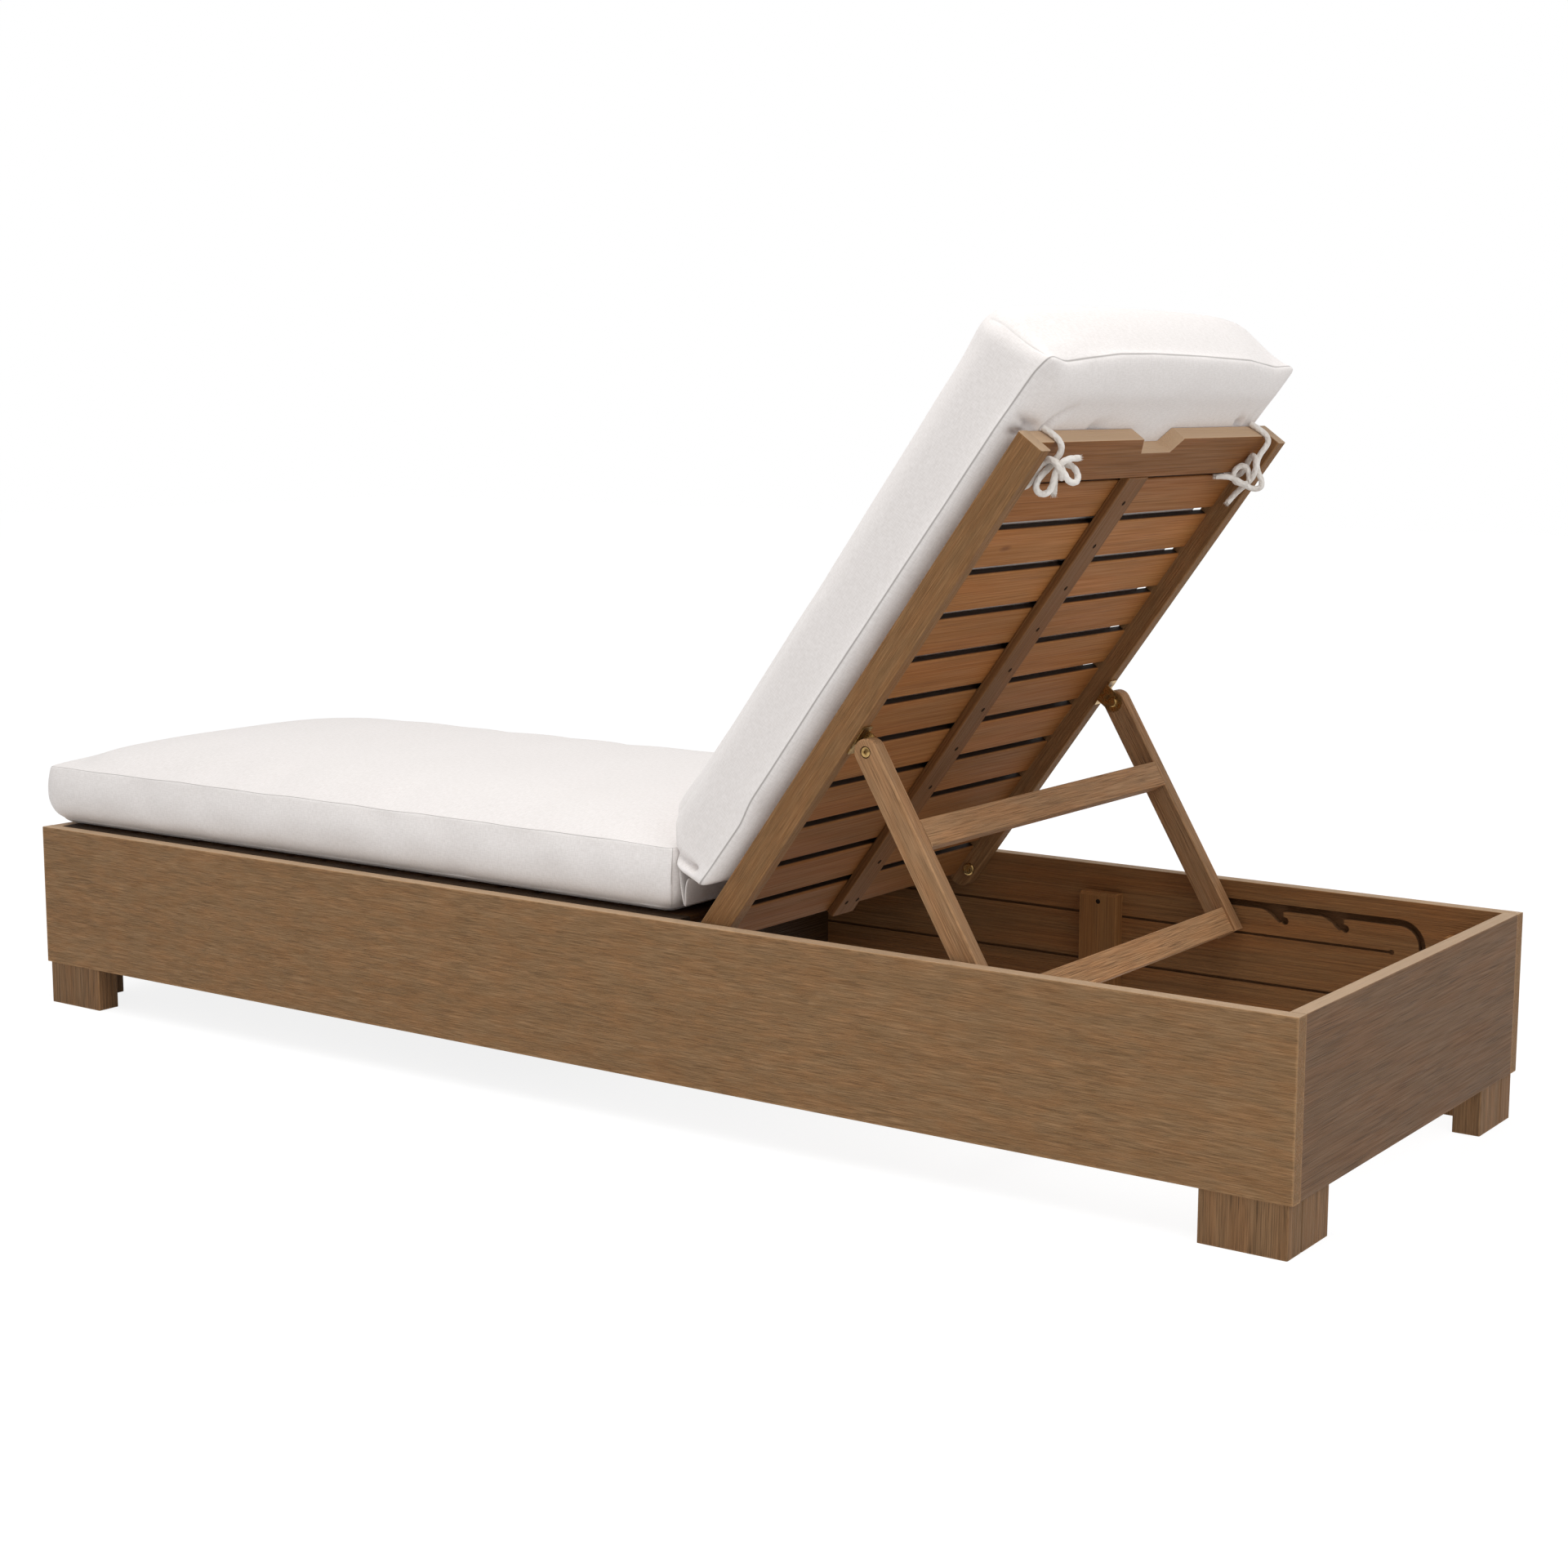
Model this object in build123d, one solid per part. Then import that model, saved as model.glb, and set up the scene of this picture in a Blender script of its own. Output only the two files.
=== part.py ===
from build123d import *
import math
import os

# An outdoor chaise longue: a boarded box on four feet, a slatted seat deck, a slatted backrest that
# swings up on two bolts, a prop whose pins drop into notches cut in the side boards, and a seat and a
# back cushion.  +X points to the head, +Y to the sitter's right, +Z up.  The origin is on the ground
# under the middle of the box, and the backrest is drawn raised to its steepest notch.

os.makedirs("parts", exist_ok=True)

# Box
box_length = 2030.0
box_width = 685.0
board_height = 207.0
board_thick = 20.0
board_ease = 1.5

# Feet, two blocks glued in an L under each corner
foot_height = 62.0
foot_arm = 107.0
foot_thick = 36.0
foot_inset_end = 5.0
foot_inset_side = 2.0
foot_ease = 2.0

# Corner posts, ledgers, rest cleats and the brace across the box
cleat_thick = 18.0
post_width = 67.0
ledger_height = 20.0
ledger_end_gap = 9.0
rest_width = 57.0
rest_centre = 428.5
rest_bevel = 4.0
rest_gap = 0.3
brace_thick = 20.0
brace_centre = -47.0
brace_side_gap = 3.0

# Rails, slats and stiles, alike in the seat deck and in the backrest
rail_thick = 21.0
rail_depth = 37.0
rail_gap = 2.5
rail_ease = 2.0
slat_thick = 12.0
slat_width = 55.3
slat_gap = 11.0
slat_ease = 2.5
stile_width = 50.0
stile_thick = 11.0
stile_ease = 1.5
toe_rail_width = 62.0
head_rail_width = 58.0
end_rail_thick = 22.0

# Backrest and its hinge
back_angle = 54.0
pivot_x = 222.0
pivot_rise = 11.5
back_slat_count = 11
rail_tail = 32.0
head_gap = 9.0
handle_top = 106.0
handle_bottom = 74.5
handle_depth = 20.0
handle_round = 4.0

# Seat deck
seat_slat_count = 17
seat_gap = 13.0

# Prop
prop_along = 342.0
prop_drop = 33.0
leg_width = 32.0
leg_thick = 21.0
leg_board_gap = 4.5
leg_ease = 2.0
notch_reach = 392.8
leg_tail = 27.0
prop_rail_width = 35.0
prop_rail_thick = 21.0
upper_rail_start = 98.0
lower_rail_start = 315.0
lower_rail_recess = 4.0
pin_radius = 4.5
pin_depth = 19.0
pin_board_gap = 0.3

# Track routed in the inner face of each side board, with its notches
track_depth = 10.0
track_width = 9.2
track_above_seat = 17.5
notch_drop = 47.0
seat_radius = 5.2
notch_count = 3
notch_pitch = 85.5
notch_length = 41.0
track_start = 15.0
bend_radius = 31.4
bend_after = 74.7
kerf_width = 3.5
kerf_depth = 3.0
upper_kerf_drop = 70.0
lower_kerf_drop = 136.0
upper_kerf_stop = 65.0

# Bolts, washers, brackets and screws
bolt_radius = 4.0
bolt_head_radius = 9.0
bolt_head_thick = 2.8
bolt_grip = 15.0
washer_radius = 10.0
running_gap = 0.05
side_play = 0.2
bracket_thick = 2.0
bracket_width = 42.0
bracket_ear_radius = 13.0
bracket_flange = 19.0
bracket_corner = 3.0
ear_bolt_radius = 3.0
ear_head_radius = 6.5
ear_head_thick = 2.8
nut_radius = 6.0
nut_length = 3.8
nut_recess_radius = 7.5
nut_recess_depth = 5.0
nut_sink = 1.0
socket_radius = 2.4
socket_depth = 1.6
screw_radius = 1.8
screw_head_radius = 3.4
screw_head_thick = 2.2
slat_screw_length = 19.0
slat_screw_offset = 4.4
last_screw_offsets = (-11.0, 15.0)
cleat_screw_length = 30.0
cleat_screw_drop = 12.0
bracket_screw_length = 18.0
bracket_screw_spread = 14.0
foot_screw_length = 84.0
foot_screw_sink = 6.0

# Cushions
soft_gap = 0.3
seat_cushion_clear = 56.0
seat_cushion_half = 320.0
seat_cushion_seam = 88.0
seat_cushion_crown = 38.0
seat_cushion_over = 11.0
cushion_round = 37.0
cushion_under = 26.0
seat_cushion_curl = 12.333
cushion_pull = 7.0
back_cushion_start = 38.0
back_cushion_over = 93.0
back_cushion_half = 323.0
back_cushion_thick = 117.0
back_cushion_crown = 12.0
hinge_thick = 1.6
hinge_height = 46.0
hinge_rise = 18.0
hinge_half = 300.0

# Ties
cord_radius = 3.5

# Places worked out from the sizes above
box_top = foot_height + board_height
half_length = box_length / 2
half_width = box_width / 2
inner_x = half_length - board_thick
inner_y = half_width - board_thick
rail_out = inner_y - rail_gap
rail_in = rail_out - rail_thick
rail_bottom = box_top - rail_depth
pivot_z = rail_bottom + pivot_rise
rail_top_off = rail_depth - pivot_rise
slat_bottom_off = rail_top_off - slat_thick
stile_bottom_off = slat_bottom_off - stile_thick
end_rail_off = rail_top_off - end_rail_thick
back_length = inner_x - pivot_x - head_gap
seat_end = pivot_x - rail_tail - seat_gap
leg_out = inner_y - leg_board_gap
leg_in = leg_out - leg_thick
cleat_in = inner_y - cleat_thick

lean = Pos(pivot_x, 0, pivot_z) * Rot(0, -back_angle, 0)
lean_cos = math.cos(math.radians(back_angle))
lean_sin = math.sin(math.radians(back_angle))
prop_x = pivot_x + prop_along * lean_cos + prop_drop * lean_sin
prop_z = pivot_z + prop_along * lean_sin - prop_drop * lean_cos
notch_z = box_top - notch_drop
notch_x = pivot_x + notch_reach
pin_reach = math.hypot(notch_x - prop_x, prop_z - notch_z)
prop_angle = math.degrees(math.atan2(prop_z - notch_z, notch_x - prop_x))
prop_place = Pos(prop_x, 0, prop_z) * Rot(0, prop_angle, 0)
flat_back = Pos(pivot_x, 0, pivot_z)
print("back angle", back_angle, "prop slope", round(prop_angle, 3))
print("pivot", pivot_x, pivot_z, "prop pivot", round(prop_x, 3), round(prop_z, 3))
print("pin", round(notch_x, 3), notch_z, "ratio", round(-(back_angle + prop_angle) / back_angle, 5))


def block(x, y, z):
    """A square block between pairs of x, y and z."""
    sides = [high - low for low, high in (x, y, z)]
    middle = [(low + high) / 2 for low, high in (x, y, z)]
    return Pos(*middle) * Box(*sides)


def eased(shape, axis, radius):
    """The shape with its edges along one axis rounded."""
    return fillet(shape.edges().filter_by(axis), radius)


def other_side(shape):
    """The same piece on the left of the chaise."""
    return mirror(shape, about=Plane.XZ)


def save(name, shape):
    """Writes one piece, or one group of like pieces, as its own file."""
    export_step(shape, "parts/" + name + ".step")


def both_sides(name, shape):
    """Writes the right-hand piece and its mirror image."""
    save(name + "_right", shape)
    save(name + "_left", other_side(shape))


def screw(length, gap=0.0):
    """A countersunk screw that points up from z = 0; a gap turns it into its hole."""
    head = Cone(screw_head_radius + gap, screw_radius + gap, screw_head_thick)
    shank = Cylinder(screw_radius + gap, length + gap)
    return Pos(0, 0, screw_head_thick / 2) * head + Pos(0, 0, (length + gap) / 2) * shank


def sunk(shape, places):
    """The shape with a wide bore below each screw driven up through a foot."""
    for place in places:
        bore = Cylinder(screw_head_radius + running_gap, foot_screw_sink)
        shape -= place * Pos(0, 0, -foot_screw_sink / 2) * bore
    return shape


def drilled(shape, places, length):
    """The shape with a screw hole at each place."""
    for place in places:
        shape -= place * screw(length, running_gap)
    return shape


# Screws that fix the cleats, posts and ledgers to the side boards, all on the right-hand side.
# Each enters from the inner face of its cleat and points outwards.
outwards = Rot(-90, 0, 0)
post_middle = inner_x - post_width / 2
post_top = rail_bottom - rest_gap
ledger_start = -inner_x + post_width
ledger_stop = seat_end - ledger_end_gap
ledger_z = rail_bottom - ledger_height / 2
ledger_screw_shares = (0.06, 0.28, 0.5, 0.72, 0.94)
post_screw_shares = (0.12, 0.88)
post_screw_zs = [foot_height + share * (post_top - foot_height) for share in post_screw_shares]
rest_screw_places = [Pos(rest_centre, cleat_in, post_top - cleat_screw_drop) * outwards]
head_post_places = [Pos(post_middle, cleat_in, z) * outwards for z in post_screw_zs]
toe_post_places = [Pos(-post_middle, cleat_in, z) * outwards for z in post_screw_zs]
ledger_places = []
for share in ledger_screw_shares:
    x = ledger_start + share * (ledger_stop - ledger_start)
    ledger_places.append(Pos(x, cleat_in, ledger_z) * outwards)
wall_places = rest_screw_places + head_post_places + toe_post_places + ledger_places

# Screws driven up through each foot, one into the post above and one into the end board.
foot_out_x = half_length - foot_inset_end
foot_out_y = half_width - foot_inset_side
foot_screw_y = (foot_out_y - foot_thick + inner_y) / 2
arm_screw_x = (inner_x + foot_out_x) / 2
arm_screw_y = foot_out_y - foot_arm + foot_thick / 2
foot_screw_spots = ((post_middle, foot_screw_y), (arm_screw_x, arm_screw_y))
foot_places = {}
for end, sign in (("head", 1), ("toe", -1)):
    foot_places[end] = [Pos(sign * x, y, foot_screw_sink) for x, y in foot_screw_spots]
all_foot_places = foot_places["head"] + foot_places["toe"]


# The track that the prop's pin runs in, drawn in x and z and routed into the board
track_top = notch_z + track_above_seat + track_width / 2
track_low = track_top - track_width
notch_xs = [notch_x + i * notch_pitch for i in range(notch_count)]
bend_x = notch_xs[-1] + bend_after
outer_bend = bend_radius + track_width / 2
inner_bend = bend_radius - track_width / 2
bend_z = track_top - outer_bend


def outline_pocket(points):
    """A pocket with straight edges, routed into the inner face of the right-hand board."""
    face = make_face(Polyline(*[(x, inner_y, z) for x, z in points], close=True))
    return extrude(face, track_depth, dir=(0, 1, 0))


def round_pocket(x, z, radius):
    """A round-bottomed pocket."""
    return Pos(x, inner_y + track_depth / 2, z) * Rot(90, 0, 0) * Cylinder(radius, track_depth)


def bar_pocket(x0, x1, z0, z1, depth):
    """A straight pocket or kerf."""
    return block((x0, x1), (inner_y, inner_y + depth), (z0, z1))


def channel():
    """The long slot with its bend at the head end."""
    slot = bar_pocket(notch_x - track_start, bend_x, track_low, track_top, track_depth)
    ring = round_pocket(bend_x, bend_z, outer_bend) - round_pocket(bend_x, bend_z, inner_bend)
    reach = (bend_x, bend_x + 2 * outer_bend)
    quarter = ring & block(reach, (inner_y, half_width), (bend_z, bend_z + 2 * outer_bend))
    end = round_pocket(bend_x + bend_radius, bend_z, track_width / 2)
    return slot + quarter + end


# Each notch: a ramp falls to the round seat, and a hooked lip holds the pin back.  The points are
# shares of the notch's length and of the seat's depth below the track, from the seat's centre.
ramp_shares = ((-1.0, 0.82), (-0.68, 0.62), (-0.46, 0.3), (-0.33, 0.02), (-0.21, -0.2))
steep_wall_share = 1.35
lip_shares = ((0.09, 0.25), (-0.05, 0.34), (-0.06, 0.68), (0.08, 0.74), (0.3, 0.78))


def notch(x, first):
    """One notch; the first has a steep wall in place of its ramp."""
    low = [(x + along * notch_length, notch_z + up * track_above_seat) for along, up in ramp_shares]
    if first:
        wall_x = x - steep_wall_share * seat_radius
        low = [(wall_x, track_low), (wall_x, notch_z)]
    high = [(x + along * notch_length, notch_z + up * track_above_seat) for along, up in lip_shares]
    middle = notch_z + track_above_seat
    roof = [(high[-1][0], middle), (low[0][0], middle)]
    return outline_pocket(low + [(x, notch_z)] + high + roof) + round_pocket(x, notch_z, seat_radius)


def kerf(drop, stop, rounded):
    """A shallow saw kerf along the inner face."""
    z = box_top - drop
    cut = bar_pocket(-inner_x, stop, z - kerf_width / 2, z + kerf_width / 2, kerf_depth)
    if rounded:
        end = Cylinder(kerf_width, kerf_depth)
        cut += Pos(stop, inner_y + kerf_depth / 2, z) * Rot(90, 0, 0) * end
    return cut


# Side boards, the full length of the box
pivot_hole = Cylinder(bolt_radius + running_gap, bolt_grip)
pivot_hole = Pos(pivot_x, inner_y + bolt_grip / 2, pivot_z) * Rot(90, 0, 0) * pivot_hole
side_board = block((-half_length, half_length), (inner_y, half_width), (foot_height, box_top))
side_board = eased(side_board, Axis.X, board_ease)
side_board -= pivot_hole
side_board -= channel()
for i, x in enumerate(notch_xs):
    side_board -= notch(x, i == 0)
side_board -= kerf(upper_kerf_drop, notch_xs[-1] + upper_kerf_stop, True)
side_board -= kerf(lower_kerf_drop, inner_x, False)
side_board = drilled(side_board, wall_places, cleat_screw_length)
both_sides("side_board", side_board)

# End boards, between the side boards
end_board = block((inner_x, half_length), (-inner_y, inner_y), (foot_height, box_top))
end_board = eased(end_board, Axis.Y, board_ease)
end_screws = [Pos(0, y, 0) * foot_places["head"][1] for y in (0, -2 * arm_screw_y)]
end_board = drilled(end_board, end_screws, foot_screw_length)
save("end_board_head", end_board)
save("end_board_toe", mirror(end_board, about=Plane.YZ))

# Feet
long_arm = block(
    (foot_out_x - foot_arm, foot_out_x), (foot_out_y - foot_thick, foot_out_y), (0, foot_height)
)
short_arm = block(
    (foot_out_x - foot_thick, foot_out_x),
    (foot_out_y - foot_arm, foot_out_y - foot_thick),
    (0, foot_height),
)
long_arm = drilled(eased(long_arm, Axis.Z, foot_ease), foot_places["head"], foot_screw_length)
short_arm = drilled(eased(short_arm, Axis.Z, foot_ease), foot_places["head"], foot_screw_length)
foot = Compound([sunk(long_arm, foot_places["head"]), sunk(short_arm, foot_places["head"])])
both_sides("foot_head", foot)
both_sides("foot_toe", mirror(foot, about=Plane.YZ))

# Corner posts; those at the head stop a hair below the folded backrest's rails
post_x = (inner_x - post_width, inner_x)
head_post = block(post_x, (cleat_in, inner_y), (foot_height, post_top))
head_post = drilled(head_post, head_post_places, cleat_screw_length)
head_post = drilled(head_post, foot_places["head"], foot_screw_length)
both_sides("corner_post_head", head_post)
toe_post = block((-inner_x, -inner_x + post_width), (cleat_in, inner_y), (foot_height, rail_bottom))
toe_post = drilled(toe_post, toe_post_places, cleat_screw_length)
toe_post = drilled(toe_post, foot_places["toe"], foot_screw_length)
both_sides("corner_post_toe", toe_post)

# Rest cleats that carry the backrest when it lies flat
rest_x = (rest_centre - rest_width / 2, rest_centre + rest_width / 2)
rest_cleat = block(rest_x, (cleat_in, inner_y), (foot_height, post_top))
rest_edges = rest_cleat.faces().sort_by(Axis.Y)[0].edges().sort_by(Axis.Z)[-1]
rest_cleat = chamfer(rest_edges, rest_bevel)
rest_cleat = drilled(rest_cleat, rest_screw_places, cleat_screw_length)
both_sides("rest_cleat", rest_cleat)

# Ledgers under the seat rails
ledger_zs = (rail_bottom - ledger_height, rail_bottom)
ledger = block((ledger_start, ledger_stop), (cleat_in, inner_y), ledger_zs)
ledger = drilled(ledger, ledger_places, cleat_screw_length)
both_sides("ledger", ledger)

# Cross brace: it stands between the side boards and its raised middle carries the seat stile
brace_x = (brace_centre - brace_thick / 2, brace_centre + brace_thick / 2)
brace_low_top = rail_bottom - ledger_height
brace_mid_y = rail_in - brace_side_gap
seat_stile_bottom = pivot_z + stile_bottom_off
cross_brace = block(brace_x, (-inner_y, inner_y), (foot_height, brace_low_top))
cross_brace += block(brace_x, (-brace_mid_y, brace_mid_y), (brace_low_top, seat_stile_bottom))
save("cross_brace", cross_brace)

# All screws of the box
right_screws = [place * screw(cleat_screw_length) for place in wall_places]
right_screws += [place * screw(foot_screw_length) for place in all_foot_places]
save("box_screws", Compound(right_screws + [other_side(one) for one in right_screws]))


def end_rail(start, stop):
    """The rail across one end of a deck, drawn flat with x from the pivot."""
    rail = block((start, stop), (-rail_in, rail_in), (end_rail_off, rail_top_off))
    return eased(rail, Axis.Y, stile_ease)


def slat(start, width):
    """One slat between the rails, with its long edges eased."""
    shape = block((start, start + width), (-rail_in, rail_in), (slat_bottom_off, rail_top_off))
    return eased(shape, Axis.Y, slat_ease)


def stile(start, stop):
    """The middle stile under the slats."""
    shape = block(
        (start, stop), (-stile_width / 2, stile_width / 2), (stile_bottom_off, slat_bottom_off)
    )
    return eased(shape, Axis.X, stile_ease)


# Seat deck
toe_rail_end = -inner_x + toe_rail_width
seat_pitch = (seat_end - toe_rail_end) / seat_slat_count
seat_starts = [toe_rail_end + slat_gap + i * seat_pitch for i in range(seat_slat_count)]
seat_slat_width = seat_pitch - slat_gap
seat_rail = block((-inner_x, seat_end), (rail_in, rail_out), (rail_bottom, box_top))
both_sides("seat_rail", eased(seat_rail, Axis.X, rail_ease))
save("seat_toe_rail", flat_back * end_rail(-inner_x - pivot_x, toe_rail_end - pivot_x))
seat_screw_places = []
for start in seat_starts:
    middle = start + seat_slat_width / 2 - pivot_x
    seat_screw_places.append(Pos(middle, slat_screw_offset, stile_bottom_off))
seat_slats = []
for start, place in zip(seat_starts, seat_screw_places):
    one = slat(start - pivot_x, seat_slat_width)
    seat_slats.append(flat_back * drilled(one, [place], slat_screw_length))
save("seat_slats", Compound(seat_slats))
seat_stile = stile(toe_rail_end - pivot_x, seat_end - pivot_x)
save("seat_stile", flat_back * drilled(seat_stile, seat_screw_places, slat_screw_length))
seat_screws = [flat_back * place * screw(slat_screw_length) for place in seat_screw_places]
save("seat_screws", Compound(seat_screws))

# Backrest rails, rounded at the lower end and hung on the pivot bolts
rail_round = rail_depth / 2
rail_middle_off = rail_top_off - rail_round
tail_x = rail_round - rail_tail
back_rail = block((tail_x, back_length), (rail_in, rail_out), (-pivot_rise, rail_top_off))
back_rail = eased(back_rail, Axis.X, rail_ease)
tail_middle = Pos(tail_x, (rail_in + rail_out) / 2, rail_middle_off)
tail = tail_middle * Rot(90, 0, 0) * Cylinder(rail_round, rail_thick)
tail_rims = tail.edges().filter_by(GeomType.CIRCLE)
back_rail += fillet(tail_rims, rail_ease)
rail_bore = Cylinder(bolt_radius + running_gap, rail_thick)
back_rail -= Pos(0, (rail_in + rail_out) / 2, 0) * Rot(90, 0, 0) * rail_bore
bracket_screw_y = rail_in + rail_thick / 2 - bracket_thick / 2
bracket_screw_places = []
for side in (-1, 1):
    spot = Pos(prop_along + side * bracket_screw_spread, bracket_screw_y, -pivot_rise - bracket_thick)
    bracket_screw_places.append(spot)
back_rail = drilled(back_rail, bracket_screw_places, bracket_screw_length)
both_sides("back_rail", lean * back_rail)

# Head rail, with a shallow handle notch in its top edge
head_start = back_length - head_rail_width
head_rail = end_rail(head_start, back_length)
handle_floor = back_length - handle_depth
handle_points = (
    (handle_floor, -handle_bottom / 2),
    (handle_floor, handle_bottom / 2),
    (back_length, handle_top / 2),
    (back_length + handle_round, handle_top / 2),
    (back_length + handle_round, -handle_top / 2),
    (back_length, -handle_top / 2),
)
handle_face = make_face(Polyline(*[(x, y, end_rail_off) for x, y in handle_points], close=True))
handle_cut = extrude(handle_face, end_rail_thick, dir=(0, 0, 1))
handle_corners = handle_cut.edges().filter_by(Axis.Z).group_by(Axis.X)[0]
head_rail -= fillet(handle_corners, handle_round)
save("head_rail", lean * head_rail)

# Backrest slats, counted from the head, and the stile screwed to them from behind
slat_pitch = slat_width + slat_gap
back_starts = [head_start - (k + 1) * slat_pitch for k in range(back_slat_count)]
stile_screw_places = []
for start in back_starts[:-1]:
    stile_screw_places.append(Pos(start + slat_width / 2, slat_screw_offset, stile_bottom_off))
last_screw_share = 0.41
last_x = back_starts[-1] + slat_width * last_screw_share
for y in last_screw_offsets:
    stile_screw_places.append(Pos(last_x, y, stile_bottom_off))
for k, start in enumerate(back_starts):
    one = slat(start, slat_width)
    holes = stile_screw_places[-2:] if k == back_slat_count - 1 else stile_screw_places[k : k + 1]
    save(f"back_slat_{k + 1:02d}", lean * drilled(one, holes, slat_screw_length))
back_stile = stile(back_starts[-1], head_start)
save("back_stile", lean * drilled(back_stile, stile_screw_places, slat_screw_length))
stile_screws = [lean * place * screw(slat_screw_length) for place in stile_screw_places]
save("stile_screws", Compound(stile_screws))

# Pivot bolts and washers: fixed in the side boards, the backrest turns on them
across = Rot(-90, 0, 0)
pivot_spot = Pos(pivot_x, 0, pivot_z)
bolt_start = rail_in - side_play
bolt_length = inner_y + bolt_grip - bolt_start
head_round_share = 0.7
bolt_head = Cylinder(bolt_head_radius, bolt_head_thick)
bolt_head = fillet(bolt_head.edges().sort_by(Axis.Z)[0], head_round_share * bolt_head_thick)
bolt_head = Pos(0, 0, bolt_start - bolt_head_thick / 2) * bolt_head
cross_slot = Box(bolt_head_radius, socket_depth, 2 * socket_depth)
cross_slot += Box(socket_depth, bolt_head_radius, 2 * socket_depth)
bolt_shank = Pos(0, 0, bolt_start + bolt_length / 2) * Cylinder(bolt_radius, bolt_length)
pivot_bolt = bolt_head + bolt_shank - Pos(0, 0, bolt_start - bolt_head_thick) * cross_slot
pivot_bolt = pivot_spot * across * pivot_bolt
save("pivot_bolts", Compound([pivot_bolt, other_side(pivot_bolt)]))
washer_thick = rail_gap - side_play
washer = Cylinder(washer_radius, washer_thick) - Cylinder(bolt_radius + running_gap, washer_thick)
washer = pivot_spot * across * Pos(0, 0, inner_y - washer_thick / 2) * washer
save("pivot_washers", Compound([washer, other_side(washer)]))

# Brass brackets under the backrest rails that carry the prop
ear_out = leg_in - side_play
ear_in = ear_out - bracket_thick
flange_off = -pivot_rise - bracket_thick
bracket_x = (prop_along - bracket_width / 2, prop_along + bracket_width / 2)
flange = block(bracket_x, (ear_in, ear_in + bracket_flange), (flange_off, -pivot_rise))
ear_x = (prop_along - bracket_ear_radius, prop_along + bracket_ear_radius)
ear = block(ear_x, (ear_in, ear_out), (-prop_drop, -pivot_rise))
ear_disc = Cylinder(bracket_ear_radius, bracket_thick)
ear += Pos(prop_along, (ear_in + ear_out) / 2, -prop_drop) * Rot(90, 0, 0) * ear_disc
ear_bore = Cylinder(ear_bolt_radius + running_gap, bracket_thick)
ear -= Pos(prop_along, (ear_in + ear_out) / 2, -prop_drop) * Rot(90, 0, 0) * ear_bore
flange = eased(flange, Axis.Z, bracket_corner)
bracket = drilled(flange + ear, bracket_screw_places, bracket_screw_length)
both_sides("prop_bracket", lean * bracket)
bracket_screws = [lean * place * screw(bracket_screw_length) for place in bracket_screw_places]
save("bracket_screws", Compound(bracket_screws + [other_side(one) for one in bracket_screws]))

# Bolts through the bracket ears, each with a round head inside and a barrel nut in the leg's recess
recess_floor = leg_out - nut_recess_depth
nut_end = leg_out - nut_sink
ear_head = Cylinder(ear_head_radius, ear_head_thick)
ear_head = fillet(ear_head.edges().sort_by(Axis.Z)[0], head_round_share * ear_head_thick)
ear_bolt = Pos(0, 0, ear_in - ear_head_thick / 2) * ear_head
ear_bolt += Pos(0, 0, (ear_in + nut_end - nut_length) / 2) * Cylinder(
    ear_bolt_radius, nut_end - nut_length - ear_in
)
ear_bolt += Pos(0, 0, nut_end - nut_length / 2) * Cylinder(nut_radius, nut_length)
ear_bolt -= Pos(0, 0, nut_end - socket_depth / 2) * Cylinder(socket_radius, socket_depth)
ear_bolt = lean * Pos(prop_along, 0, -prop_drop) * across * ear_bolt
save("prop_bolts", Compound([ear_bolt, other_side(ear_bolt)]))

# Prop legs, drawn with x down the leg from its pivot
leg_length = pin_reach + leg_tail
leg_middle = (leg_in + leg_out) / 2
leg = block((0, leg_length), (leg_in, leg_out), (-leg_width / 2, leg_width / 2))
leg = eased(leg, Axis.X, leg_ease)
leg_top = Cylinder(leg_width / 2, leg_thick)
leg_top = fillet(leg_top.edges().filter_by(GeomType.CIRCLE), leg_ease)
leg += Pos(0, leg_middle, 0) * Rot(90, 0, 0) * leg_top
leg -= Pos(0, leg_middle, 0) * Rot(90, 0, 0) * Cylinder(ear_bolt_radius + running_gap, leg_thick)
recess_place = Pos(0, recess_floor + nut_recess_depth / 2, 0) * Rot(90, 0, 0)
leg -= recess_place * Cylinder(nut_recess_radius, nut_recess_depth)
pin_start = leg_out - pin_depth
pin_stop = inner_y - pin_board_gap
leg -= Pos(pin_reach, (pin_start + leg_out) / 2, 0) * Rot(90, 0, 0) * Cylinder(
    pin_radius + running_gap, pin_depth
)
both_sides("prop_leg", prop_place * leg)


def prop_rail(start, recess):
    """A rail between the prop's legs."""
    top = leg_width / 2 - recess
    shape = block((start, start + prop_rail_width), (-leg_in, leg_in), (top - prop_rail_thick, top))
    return eased(shape, Axis.Y, stile_ease)


save("prop_rail_upper", prop_place * prop_rail(upper_rail_start, 0))
save("prop_rail_lower", prop_place * prop_rail(lower_rail_start, lower_rail_recess))
pin = Cylinder(pin_radius, pin_stop - pin_start)
pin = prop_place * Pos(pin_reach, (pin_start + pin_stop) / 2, 0) * Rot(90, 0, 0) * pin
save("prop_pins", Compound([pin, other_side(pin)]))


# A cushion's cross-section: the hem below and the curl at the seam above each take at most a share of
# the height between them, and the hem's arc passes through a point given in shares of its size.
room_share = 0.45
hem_in_share = 0.25
hem_up_share = 0.3


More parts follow.
